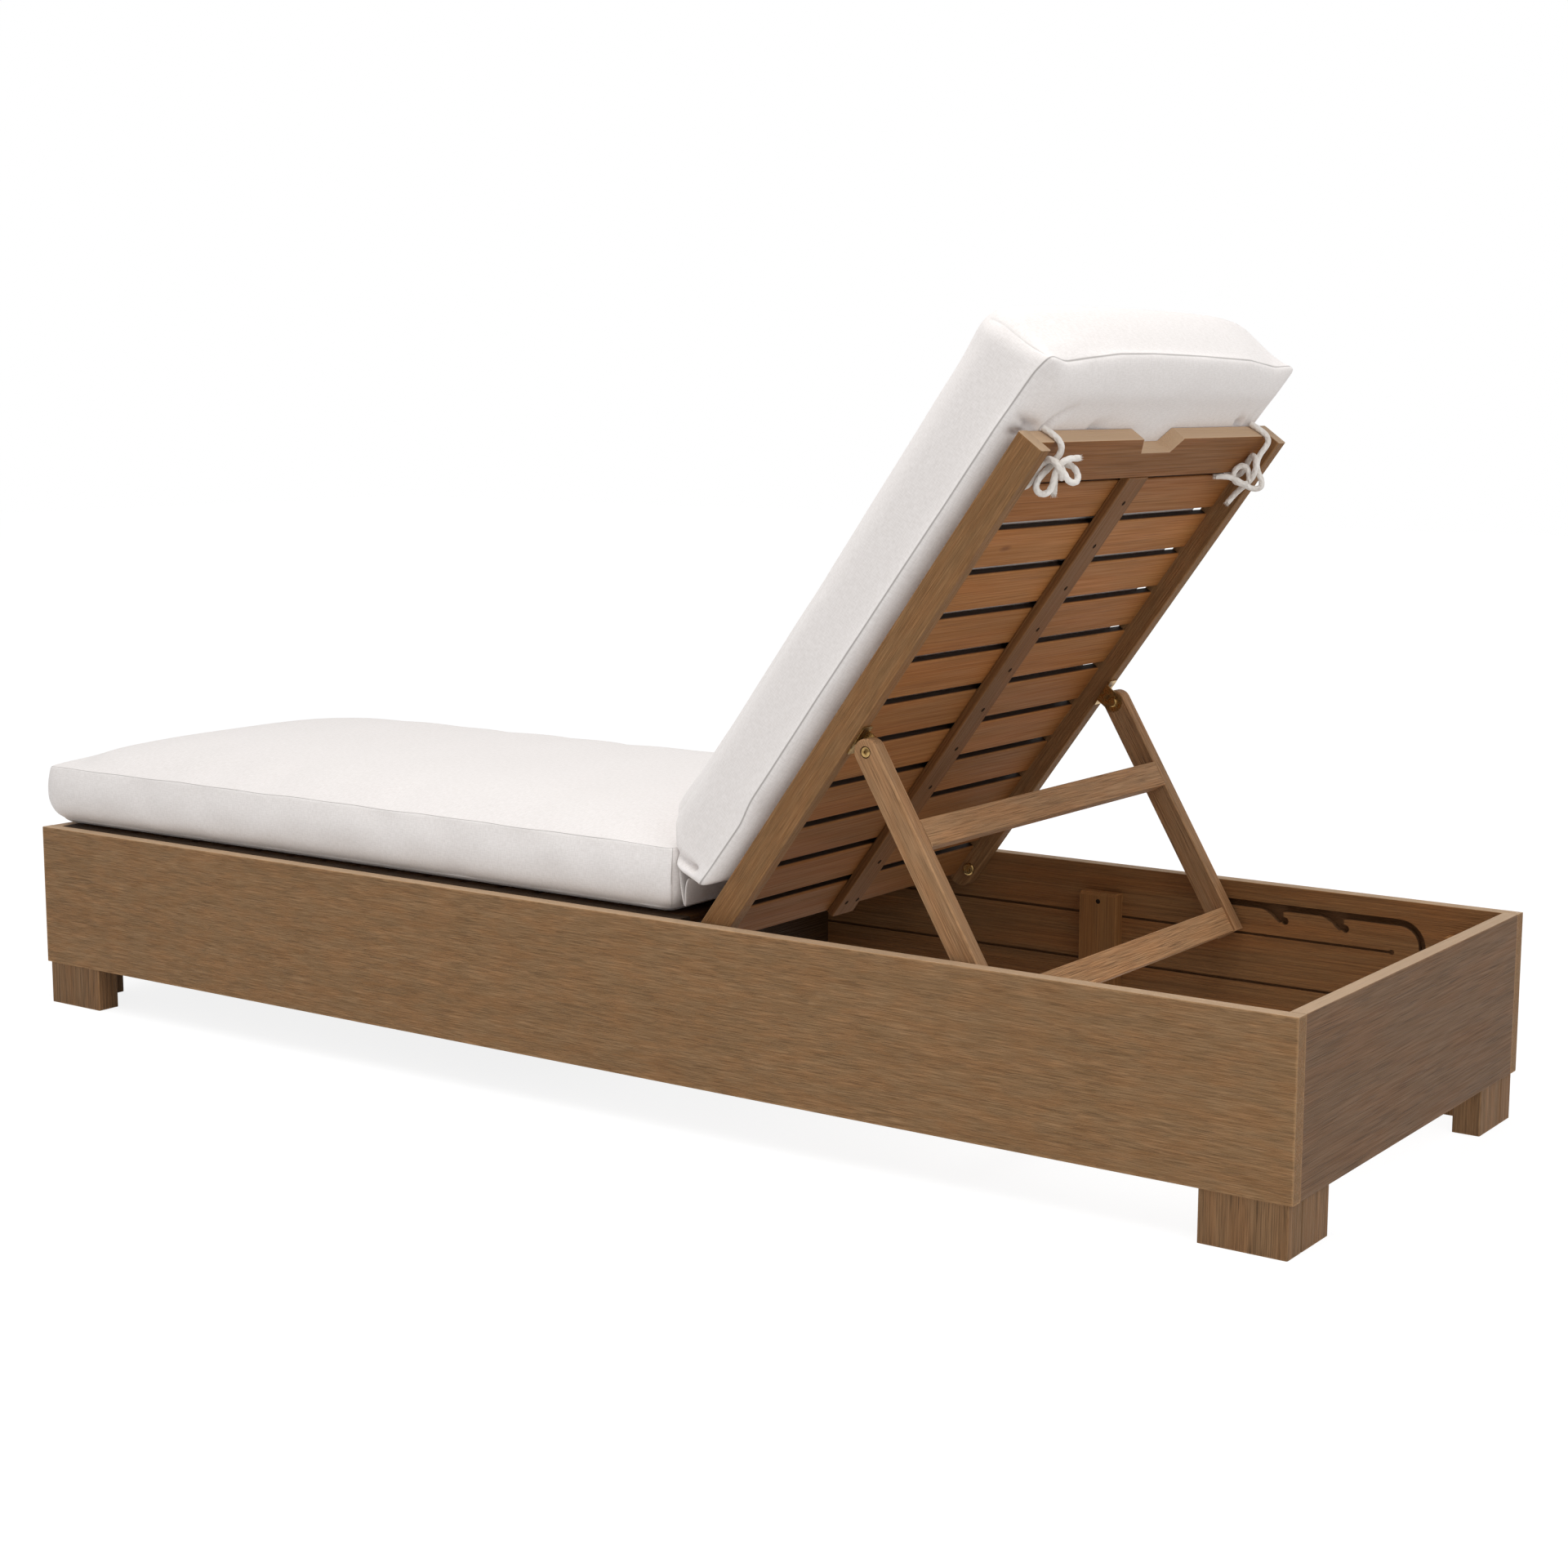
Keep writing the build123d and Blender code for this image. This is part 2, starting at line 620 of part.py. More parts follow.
def cushion_section(half, low, seam, crown, hem, curl):
    """A section drawn with its first axis across the chaise and its second through the cushion."""
    hem = min(hem, room_share * (seam - low))
    curl = min(curl, room_share * (seam - low))
    tight = curl * (1 - math.sqrt(0.5))
    points = [
        (-half + hem, low),
        (half - hem, low),
        (half - hem * hem_in_share, low + hem * hem_up_share),
        (half, low + hem),
        (half, seam - curl),
        (half - tight, seam - tight),
        (half - curl, seam),
        (0, seam + crown),
    ]
    left = [(-y, z) for y, z in points[2:7]]
    base = Line(points[0], points[1])
    right_hem = ThreePointArc(points[1], points[2], points[3])
    right_wall = Line(points[3], points[4])
    right_curl = ThreePointArc(points[4], points[5], points[6])
    top = ThreePointArc(points[6], points[7], left[4])
    left_curl = ThreePointArc(left[4], left[3], left[2])
    left_wall = Line(left[2], left[1])
    left_hem = ThreePointArc(left[1], left[0], points[0])
    return make_face([base, right_hem, right_wall, right_curl, top, left_curl, left_wall, left_hem])


# Seat cushion: a crowned pad whose long sides draw in between its corners.  The first column is the
# place along it, then shares of its half width, of its seam height, of its crown and of its hem.
seat_shares = (
    (0.0, 0.93, 0.86, 0.2, 1.0),
    (0.006, 0.985, 0.96, 0.45, 1.0),
    (0.04, 1.0, 1.0, 0.8, 1.0),
    (0.25, 1.0, 1.0, 1.0, 1.0),
    (0.5, 1.0, 1.0, 1.0, 1.0),
    (0.75, 1.0, 1.0, 1.0, 1.0),
    (0.92, 1.0, 1.0, 0.8, 1.0),
    (0.97, 1.0, 1.0, 0.42, 1.0),
    (1.0, 0.985, 0.96, 0.08, 1.0),
)
seat_cushion_start = -half_length - seat_cushion_over
seat_cushion_stop = pivot_x - seat_cushion_clear
seat_cushion_length = seat_cushion_stop - seat_cushion_start
cushion_floor = box_top + soft_gap
sections = []
for along, wide, tall, crown, hem in seat_shares:
    half = seat_cushion_half * wide - cushion_pull * math.sin(math.pi * along)
    face = cushion_section(
        half,
        cushion_floor + (1 - tall) * cushion_round,
        box_top + seat_cushion_seam * tall,
        seat_cushion_crown * crown,
        cushion_under * hem,
        seat_cushion_curl,
    )
    x = seat_cushion_start + along * seat_cushion_length
    sections.append(Plane(origin=(x, 0, 0), x_dir=(0, 1, 0), z_dir=(1, 0, 0)) * face)
seat_cushion = loft(sections, ruled=True)
save("seat_cushion", seat_cushion)

# Back cushion, laid along the backrest.  Columns: place along it, then shares of its half width, of
# the lift of its under side, of its thickness and of its crown.
back_shares = (
    (0.0, 0.93, 1.2, 0.5, 0.1),
    (0.016, 0.965, 0.7, 0.62, 0.3),
    (0.04, 0.985, 0.1, 0.78, 0.5),
    (0.08, 0.995, 0.0, 0.93, 0.8),
    (0.14, 1.0, 0.0, 1.0, 1.0),
    (0.35, 1.0, 0.0, 1.0, 1.0),
    (0.62, 1.0, 0.0, 1.0, 1.0),
    (0.9, 1.0, 0.02, 1.0, 1.0),
    (0.975, 1.0, 0.25, 0.99, 0.8),
    (1.0, 0.985, 0.45, 0.93, 0.4),
)
back_floor = rail_top_off + soft_gap
back_cushion_length = back_length + back_cushion_over - back_cushion_start
sections = []
for along, wide, lift, thick, crown in back_shares:
    half = back_cushion_half * wide - cushion_pull * math.sin(math.pi * along)
    face = cushion_section(
        half,
        back_floor + lift * cushion_round,
        back_floor + back_cushion_thick * thick,
        back_cushion_crown * crown,
        cushion_under,
        cushion_round,
    )
    x = back_cushion_start + along * back_cushion_length
    sections.append(Plane(origin=(x, 0, 0), x_dir=(0, 1, 0), z_dir=(1, 0, 0)) * face)
back_cushion = lean * loft(sections, ruled=True)
save("back_cushion", back_cushion)

# Cloth hinge between the two cushions, standing against the seat cushion's end
hinge_x = seat_cushion_stop + soft_gap
hinge_z = box_top + hinge_rise
hinge_xs = (hinge_x, hinge_x + hinge_thick)
hinge = block(hinge_xs, (-hinge_half, hinge_half), (hinge_z, hinge_z + hinge_height))
save("cushion_hinge", hinge)

# Ties.  Each route is written in the leaning backrest's own frame: along it, across, and out of it.
tie_left_over = (
    (768.3, -272, 24.6),
    (768.7, -269.5, 17),
    (768.6, -267, 9),
    (767.2, -265.5, 0.5),
    (762.5, -265, -6),
    (755, -266, -8.5),
    (747, -267, -7.5),
    (738.5, -270, -8.5),
    (730, -277, -9),
    (721.5, -283.5, -10.5),
    (714, -286, -15),
    (711.5, -284, -23),
    (717, -279.5, -28.5),
    (727, -277.5, -27),
    (737.5, -279, -23),
    (748, -277.5, -20),
    (757, -271.5, -19.5),
    (763.5, -264.5, -21.5),
    (769.5, -258, -24.5),
)
tie_left_under = (
    (700.5, -284, 25.5),
    (700.5, -284.5, 14),
    (701.5, -283.5, 3),
    (709, -281.5, -4),
    (721.5, -279.5, -1),
    (732.5, -277, -0.5),
    (742.5, -275.5, -1.5),
    (749, -274, -9),
    (749, -273.5, -19),
    (744, -272, -29),
    (738.5, -266.5, -36.5),
    (740, -257.5, -41),
    (747, -253, -36),
    (751.5, -254, -25.5),
    (748.5, -257.5, -16),
    (739.5, -259, -12.5),
    (730.5, -259.5, -15),
    (722.5, -260.5, -21),
    (714.5, -262.5, -27.5),
)
tie_right_over = (
    (768.3, 268, 24.6),
    (768.7, 271, 17),
    (768.6, 275, 9),
    (767.2, 278.5, 0.5),
    (762.5, 279.5, -6),
    (754.5, 276.5, -8),
    (744, 273, -8.5),
    (732.5, 271.5, -12),
    (724.5, 271.5, -21),
    (719.5, 273.5, -31),
    (711, 273.5, -36.5),
    (704, 268, -29.5),
    (704.5, 259, -19.5),
    (705.5, 249.5, -10),
    (704.5, 239.5, -1),
    (697.5, 229.5, 8),
)
tie_right_under = (
    (700.5, 266, 25.5),
    (700.5, 265.5, 14),
    (701, 266, 3),
    (708.5, 267.5, -4.5),
    (720.5, 270, -3.5),
    (731, 272, -0.5),
    (739.5, 268.5, -3),
    (738.5, 261.5, -12),
    (730, 260, -20),
    (718, 263.5, -22),
    (705.5, 268, -19),
    (693.5, 270, -15),
    (681.5, 268, -13),
    (670.5, 262, -14),
)
knot_left = (
    (737.5, -267.5, -2),
    (745, -277, -1.5),
    (751, -281.5, -11.5),
    (748.5, -280.5, -23),
    (742, -273, -28.5),
    (735, -263, -24.5),
)
knot_right = (
    (711.5, 264, -20),
    (721.5, 262, -14),
    (725.5, 256, -4.5),
    (715.5, 250, -0.5),
    (704, 248, -5),
    (701.5, 252.5, -15.5),
    (708.5, 259, -22.5),
)


arc_share = 0.45


def turn(before, point, after):
    """The angle in degrees by which a route turns at a point."""
    return (Vector(*point) - Vector(*before)).get_angle(Vector(*after) - Vector(*point))


def tube(name, points):
    """A cord along straight runs joined by the widest arcs that they allow."""
    runs = [(Vector(*b) - Vector(*a)).length for a, b in zip(points, points[1:])]
    radii = []
    turns = []
    for i in range(1, len(points) - 1):
        angle = turn(points[i - 1], points[i], points[i + 1])
        turns.append(angle)
        radii.append(arc_share * min(runs[i - 1], runs[i]) / math.tan(math.radians(angle / 2)))
    path = FilletPolyline(*points, radius=radii)
    start = Vector(*points[1]) - Vector(*points[0])
    profile = Plane(origin=points[0], z_dir=start) * Circle(cord_radius)
    solid = sweep(profile, path=path)
    ratio = solid.volume / (math.pi * cord_radius**2 * path.length)
    print(name, "length", round(path.length, 1), "volume ratio", round(ratio, 4))
    print("  radii", [round(r, 1) for r in radii])
    print("  turns", [round(t) for t in turns], "longest run", round(max(runs), 1))
    return lean * solid


for name, points in (
    ("tie_left_over", tie_left_over),
    ("tie_left_under", tie_left_under),
    ("tie_right_over", tie_right_over),
    ("tie_right_under", tie_right_under),
    ("tie_knot_left", knot_left),
    ("tie_knot_right", knot_right),
):
    save(name, tube(name, points))
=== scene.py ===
import math
import bpy
import bmesh
import numpy as np
from mathutils import Matrix, Vector


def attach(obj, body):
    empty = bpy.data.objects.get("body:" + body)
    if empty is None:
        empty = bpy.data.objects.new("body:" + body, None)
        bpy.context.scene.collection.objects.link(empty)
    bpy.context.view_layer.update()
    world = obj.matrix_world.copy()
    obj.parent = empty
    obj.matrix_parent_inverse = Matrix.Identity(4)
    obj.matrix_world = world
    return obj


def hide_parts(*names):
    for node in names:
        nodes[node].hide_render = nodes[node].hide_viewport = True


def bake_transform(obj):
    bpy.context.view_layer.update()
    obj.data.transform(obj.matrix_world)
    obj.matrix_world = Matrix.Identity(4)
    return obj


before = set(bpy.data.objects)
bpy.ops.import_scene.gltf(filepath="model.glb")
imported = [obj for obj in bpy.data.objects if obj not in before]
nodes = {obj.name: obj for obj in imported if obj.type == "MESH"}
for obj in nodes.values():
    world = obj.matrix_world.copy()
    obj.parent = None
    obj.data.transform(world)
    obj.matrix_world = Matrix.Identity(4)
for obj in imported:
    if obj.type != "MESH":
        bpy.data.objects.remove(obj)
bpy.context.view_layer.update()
scene = bpy.context.scene
scene.view_settings.view_transform = "Standard"

# The view
# The chaise is seen from behind its head, on the sitter's left, from a little above the box.  Places
# are in metres, with X towards the head, Y towards the sitter's right and Z up.
eye = (2.0834, -2.7944, 0.9165)
eye_turn = 35.245
eye_down = 8.693
eye_roll = 0.168
lens_mm = 58.66
film_mm = 36.0

camera_data = bpy.data.cameras.new("photo_camera")
camera_data.lens = lens_mm
camera_data.sensor_width = film_mm
camera = bpy.data.objects.new("photo_camera", camera_data)
scene.collection.objects.link(camera)
turn = Matrix.Rotation(math.radians(eye_turn), 4, "Z")
tilt = Matrix.Rotation(math.radians(90 - eye_down), 4, "X")
roll = Matrix.Rotation(math.radians(eye_roll), 4, "Z")
camera.matrix_world = Matrix.Translation(eye) @ turn @ tilt @ roll
scene.camera = camera

# The studio
# A plain pale floor and an even, soft light: a bright surround, one wide lamp above the foot on the
# sitter's left, and a weak one behind the head.
surround_light = 0.60
floor_half = 14.0
floor_glow = 0.86
floor_shade = (0.24, 0.24, 0.24, 1)
floor_colour = (0.86, 0.86, 0.86, 1)
# Each lamp's name, place, target, size and power.
lamps = (
    ("top_lamp", (0.3, -0.9, 3.4), (0.1, 0.0, 0.3), 3.0, 56.0),
    ("head_lamp", (3.2, -0.7, 2.6), (0.4, 0.0, 0.6), 2.0, 19.0),
)


def place_values(tree, made, inputs):
    """Sets or links a node's named inputs, and gives its outputs."""
    for name, value in inputs.items():
        if isinstance(value, bpy.types.NodeSocket):
            tree.links.new(value, made.inputs[name])
        else:
            made.inputs[name].default_value = value
    return made.outputs


def node(tree, kind, inputs=None, **settings):
    """A new node with its settings, and with its inputs set or linked."""
    made = tree.nodes.new(kind)
    for name, value in settings.items():
        setattr(made, name, value)
    place_values(tree, made, inputs or {})
    return made


def sum_of(tree, operation, first, second=None, third=None):
    """The output of a math node."""
    made = tree.nodes.new("ShaderNodeMath")
    made.operation = operation
    for socket, value in zip(made.inputs, (first, second, third)):
        if isinstance(value, bpy.types.NodeSocket):
            tree.links.new(value, socket)
        elif value is not None:
            socket.default_value = value
    return made.outputs[0]


def show(name, mesh):
    """A linked object for a finished mesh."""
    obj = bpy.data.objects.new(name, mesh)
    scene.collection.objects.link(obj)
    return obj


def seen_directly(tree):
    """One where the camera, a reflection or a refraction looks, and nought for light that bounces."""
    path_kind = node(tree, "ShaderNodeLightPath").outputs
    either = sum_of(tree, "MAXIMUM", path_kind["Is Camera Ray"], path_kind["Is Glossy Ray"])
    return sum_of(tree, "MAXIMUM", either, path_kind["Is Transmission Ray"])


world = bpy.data.worlds.new("studio")
scene.world = world
world.use_nodes = True
surround = world.node_tree
glow = surround.nodes["Background"]
glow.inputs["Color"].default_value = (1, 1, 1, 1)
level = node(surround, "ShaderNodeMapRange", {"Value": seen_directly(surround), "To Min": surround_light})
surround.links.new(level.outputs["Result"], glow.inputs["Strength"])

floor_mesh = bpy.data.meshes.new("studio_floor")
floor_corners = [(x * floor_half, y * floor_half, 0) for x, y in ((-1, -1), (1, -1), (1, 1), (-1, 1))]
floor_mesh.from_pydata(floor_corners, [], [(0, 1, 2, 3)])
floor = show("studio_floor", floor_mesh)
floor_paint = bpy.data.materials.new("studio_floor")
floor_paint.use_nodes = True
paint = floor_paint.node_tree
paint.nodes.remove(paint.nodes["Principled BSDF"])
plain = node(paint, "ShaderNodeBsdfDiffuse", {"Color": floor_colour})
shade = node(paint, "ShaderNodeBsdfDiffuse", {"Color": floor_shade})
bright = node(paint, "ShaderNodeEmission", {"Color": (1, 1, 1, 1), "Strength": floor_glow})
both = node(paint, "ShaderNodeAddShader", {0: shade.outputs[0], 1: bright.outputs[0]})
chosen = node(paint, "ShaderNodeMixShader",
              {0: seen_directly(paint), 1: plain.outputs[0], 2: both.outputs[0]})
paint.links.new(chosen.outputs[0], paint.nodes["Material Output"].inputs["Surface"])
floor_mesh.materials.append(floor_paint)

for lamp_name, place, target, size, power in lamps:
    lamp_data = bpy.data.lights.new(lamp_name, "AREA")
    lamp_data.shape = "DISK"
    lamp_data.size = size
    lamp_data.energy = power
    lamp = bpy.data.objects.new(lamp_name, lamp_data)
    scene.collection.objects.link(lamp)
    lamp.location = place
    lamp.rotation_mode = "QUATERNION"
    lamp.rotation_quaternion = (Vector(target) - Vector(place)).to_track_quat("-Z", "Y")

# Side boards and end boards
# Solid hardwood, wire-brushed so that the soft grain stands back, and stained a taupe brown.  The side
# boards run the full length; their inner faces are planed, darker, and routed with the prop's track.
board_colours = ((0.362, 0.214, 0.106, 1), (0.220, 0.122, 0.052, 1), (0.082, 0.041, 0.017, 1))
# The end boards are painted darker than the side boards: painted shade for the dimmer light on the ends.
end_shaded_colours = ((0.190, 0.108, 0.056, 1), (0.136, 0.075, 0.038, 1), (0.055, 0.029, 0.014, 1))
inner_colours = ((0.310, 0.153, 0.058, 1), (0.200, 0.095, 0.033, 1), (0.075, 0.032, 0.011, 1))
along_x = (0.0, 0.0, 0.0)
along_y = (0.0, 0.0, math.radians(-90))
along_z = (0.0, math.radians(90), 0.0)
board_inner_y = 0.3225
board_inner_x = 0.995
board_top = 0.269
board_bottom = 0.062
board_edge_wear_and_highlight = 0.0035
board_fibre = (0.027, 0.0017)
end_fibre = (0.06, 0.0024)
planed_fibre = (0.12, 0.004)
eased_corner = 0.0018
face_skin = 0.0003
skin_blur = 0.0002
groove_depth = 0.011
side_groove_end = 1.013
end_groove_end = 0.3215
# The routed groove is painted darker than the inner face: painted shade in the recess.
groove_shade_colour = (0.150, 0.072, 0.029, 1)
# The boards' top faces are paler, partly in their own colour and partly as painted light from above.
top_lit_colour = (0.62, 0.44, 0.285, 1)
top_lit_share = 0.65


def new_tree(name, kind, inputs, outputs):
    """A node group with its named inputs and outputs."""
    tree = bpy.data.node_groups.new(name, kind)
    for side, sockets in (("INPUT", inputs), ("OUTPUT", outputs)):
        for socket_name, socket_type in sockets:
            tree.interface.new_socket(socket_name, in_out=side, socket_type="NodeSocket" + socket_type)
    return tree


def new_material(name, roughness, **constants):
    """A material with a Principled shader; its constants are set on the shader's own sockets."""
    material = bpy.data.materials.new(name)
    material.use_nodes = True
    shader = material.node_tree.nodes["Principled BSDF"]
    shader.inputs["Roughness"].default_value = roughness
    for socket, value in constants.items():
        shader.inputs[socket.replace("_", " ")].default_value = value
    return material, material.node_tree, shader


def mix_colours(tree, share, first, second, how="MIX"):
    """The output of a colour mix."""
    mix = node(tree, "ShaderNodeMix", {0: share, 6: first, 7: second}, data_type="RGBA", blend_type=how)
    return mix.outputs[2]


def ramp(tree, value, low, high, **settings):
    """Nought at low and one at high, for a value that changes over the surface."""
    made = node(tree, "ShaderNodeMapRange", {"Value": value, "From Min": low, "From Max": high}, **settings)
    return made.outputs["Result"]


def eased_ramp(tree, value, low, high):
    """Nought at low and one at high, with soft ends."""
    return ramp(tree, value, low, high, interpolation_type="SMOOTHSTEP")


def noise(tree, place, scale, detail):
    """The value of a cloudy pattern."""
    made = node(tree, "ShaderNodeTexNoise", {"Vector": place, "Scale": scale, "Detail": detail})
    return made.outputs["Fac"]


def grain_group():
    """Wood grain along X: fibres, pores, rings and blotches, as a colour, a height and a roughness."""
    tree = new_tree(
        "brushed grain",
        "ShaderNodeTree",
        (("Vector", "Vector"), ("Pale", "Color"), ("Brown", "Color"), ("Dark", "Color"),
         ("Fibre length", "Float"), ("Fibre width", "Float"), ("Pores", "Float"), ("Blotches", "Float")),
        (("Color", "Color"), ("Height", "Float"), ("Roughness", "Float")),
    )
    given = node(tree, "NodeGroupInput").outputs
    per_length = sum_of(tree, "DIVIDE", 1.0, given["Fibre length"])
    per_width = sum_of(tree, "DIVIDE", 1.0, given["Fibre width"])

    def stretched(length_share, width_share, detail, warp=0.0):
        """A cloudy pattern that is drawn out along the grain."""
        rate = node(tree, "ShaderNodeCombineXYZ", {
            "X": sum_of(tree, "MULTIPLY", per_length, length_share),
            "Y": sum_of(tree, "MULTIPLY", per_width, width_share),
            "Z": sum_of(tree, "MULTIPLY", per_width, width_share),
        }).outputs[0]
        place = node(tree, "ShaderNodeVectorMath", {0: given["Vector"], 1: rate}, operation="MULTIPLY")
        return node(tree, "ShaderNodeTexNoise", {
            "Vector": place.outputs[0], "Scale": 1.0, "Detail": detail, "Roughness": 0.62,
            "Distortion": warp,
        }).outputs["Fac"]

    fibres = eased_ramp(tree, stretched(0.55, 0.70, 3.0), 0.34, 0.68)
    brushed = eased_ramp(tree, stretched(0.65, 2.0, 1.0), 0.34, 0.64)
    open_grain = eased_ramp(tree, stretched(0.30, 0.06, 2.0), 0.30, 0.62)
    lines = eased_ramp(tree, stretched(0.80, 2.3, 1.0), 0.57, 0.66)
    pores = sum_of(tree, "MULTIPLY", lines, sum_of(tree, "MULTIPLY_ADD", open_grain, 0.5, 0.5))
    streaks = sum_of(tree, "MULTIPLY_ADD", brushed, 0.62, sum_of(tree, "MULTIPLY", fibres, 0.38))
    rings = eased_ramp(tree, stretched(0.09, 0.09, 3.0, 0.6), 0.36, 0.66)
    blotches = eased_ramp(tree, stretched(0.45, 0.10, 2.0), 0.35, 0.68)

    base = mix_colours(tree, streaks, given["Brown"], given["Pale"])
    ringed = mix_colours(tree, sum_of(tree, "MULTIPLY", rings, 0.38), base, given["Brown"])
    warm = mix_colours(tree, 1.0, ringed, (1.14, 0.97, 0.82, 1), "MULTIPLY")
    warmed = mix_colours(tree, sum_of(tree, "MULTIPLY", blotches, given["Blotches"]), ringed, warm)
    pored = mix_colours(tree, sum_of(tree, "MULTIPLY", pores, given["Pores"]), warmed, given["Dark"])
    height = sum_of(tree, "SUBTRACT", streaks, sum_of(tree, "MULTIPLY", pores, given["Pores"]))
    gloss = sum_of(tree, "MULTIPLY_ADD", streaks, -0.14, 0.70)
    node(tree, "NodeGroupOutput", {"Color": pored, "Height": height, "Roughness": gloss})
    return tree


# Its mask pales the edges of a piece: partly wear, partly a painted highlight along the eased edges.
def edge_group():
    """How near a point is to an edge of a square piece: one on the edge, nought past the width."""
    tree = new_tree(
        "edge wear",
        "ShaderNodeTree",
        (("Vector", "Vector"), ("Middle", "Vector"), ("Half size", "Vector"), ("Width", "Float")),
        (("Mask", "Float"),),
    )
    given = node(tree, "NodeGroupInput").outputs
    away = node(tree, "ShaderNodeVectorMath", {0: given["Vector"], 1: given["Middle"]}, operation="SUBTRACT")
    apart = node(tree, "ShaderNodeVectorMath", {0: away.outputs[0]}, operation="ABSOLUTE")
    inside = node(tree, "ShaderNodeVectorMath", {0: given["Half size"], 1: apart.outputs[0]},
                  operation="SUBTRACT")
    x, y, z = node(tree, "ShaderNodeSeparateXYZ", {0: inside.outputs[0]}).outputs
    low = sum_of(tree, "MINIMUM", x, y)
    high = sum_of(tree, "MAXIMUM", x, y)
    second = sum_of(tree, "MAXIMUM", low, sum_of(tree, "MINIMUM", high, z))
    chips = noise(tree, given["Vector"], 95.0, 4.0)
    ragged = sum_of(tree, "MULTIPLY", given["Width"], sum_of(tree, "MULTIPLY_ADD", chips, 2.4, -0.45))
    node(tree, "NodeGroupOutput", {"Mask": ramp(tree, second, ragged, 0.0)})
    return tree


grain = grain_group()
edges = edge_group()


def vertex_places(mesh):
    """The places of a mesh's vertices, one row each."""
    co = np.empty(len(mesh.vertices) * 3)
    mesh.vertices.foreach_get("co", co)
    return co.reshape(-1, 3)


def piece_box(name, spin):
    """The middle and half size of a CAD node's box, in the frame of its grain."""
    turned = Matrix.Rotation(spin[2], 3, "Z") @ Matrix.Rotation(spin[1], 3, "Y")
    co = vertex_places(nodes[name].data) @ np.array(turned).T
    low, high = co.min(0), co.max(0)
    return Vector((low + high) / 2), Vector((high - low) / 2)


def grained(tree, place, colours, fibre, pores, blotches):
    """The grain group's outputs, with one wood's values."""
    values = {"Vector": place, "Pores": pores, "Blotches": blotches}
    values.update(zip(("Pale", "Brown", "Dark"), colours))
    values.update(zip(("Fibre length", "Fibre width"), fibre))
    made = node(tree, "ShaderNodeGroup", node_tree=grain)
    return place_values(tree, made, values)


def timber(name, spin, colours, fibre=(0.045, 0.0021), pores=0.6, blotches=0.5, relief=0.0006,
           wear_and_highlight=0.0025, wear_and_highlight_amount=0.45, shift=0.0):
    """Wood for one CAD node; its grain runs along X once the node has been turned by the spin."""
    material, tree, shader = new_material(name + "_wood", 0.6, Specular_IOR_Level=0.18)
    place = node(tree, "ShaderNodeTexCoord").outputs["Object"]
    along = node(tree, "ShaderNodeMapping", {"Vector": place, "Rotation": spin}).outputs[0]
    shifted = node(tree, "ShaderNodeVectorMath", {0: along, 1: (shift, shift * 0.37, 0.0)}, operation="ADD")
    wood = grained(tree, shifted.outputs[0], colours, fibre, pores, blotches)
    middle, half = piece_box(name, spin)
    edge = place_values(tree, node(tree, "ShaderNodeGroup", node_tree=edges),
                        {"Vector": along, "Middle": middle, "Half size": half, "Width": wear_and_highlight})
    # The pale rim along each edge is partly wear and partly a painted highlight on the eased edges.
    worn_and_lit = sum_of(tree, "MULTIPLY", edge["Mask"], wear_and_highlight_amount)
    pale = tuple(min(1.0, channel * 1.5) for channel in colours[0][:3]) + (1,)
    colour = mix_colours(tree, worn_and_lit, wood["Color"], pale)
    bump = node(tree, "ShaderNodeBump", {"Height": wood["Height"], "Strength": 0.8, "Distance": relief})
    tree.links.new(colour, shader.inputs["Base Color"])
    tree.links.new(wood["Roughness"], shader.inputs["Roughness"])
    tree.links.new(bump.outputs["Normal"], shader.inputs["Normal"])
    return material, tree, shader, colour, place


def finish_node(name, material):
    """Gives a CAD node its material."""
    mesh = nodes[name].data
    mesh.materials.clear()
    mesh.materials.append(material)


def up_to(tree, value, limit):
    """One up to a limit and nought past it."""
    return ramp(tree, value, limit + skin_blur, limit - skin_blur)


def all_of(tree, *masks):
    """The product of masks."""
    product = masks[0]
    for mask in masks[1:]:
        product = sum_of(tree, "MULTIPLY", product, mask)
    return product


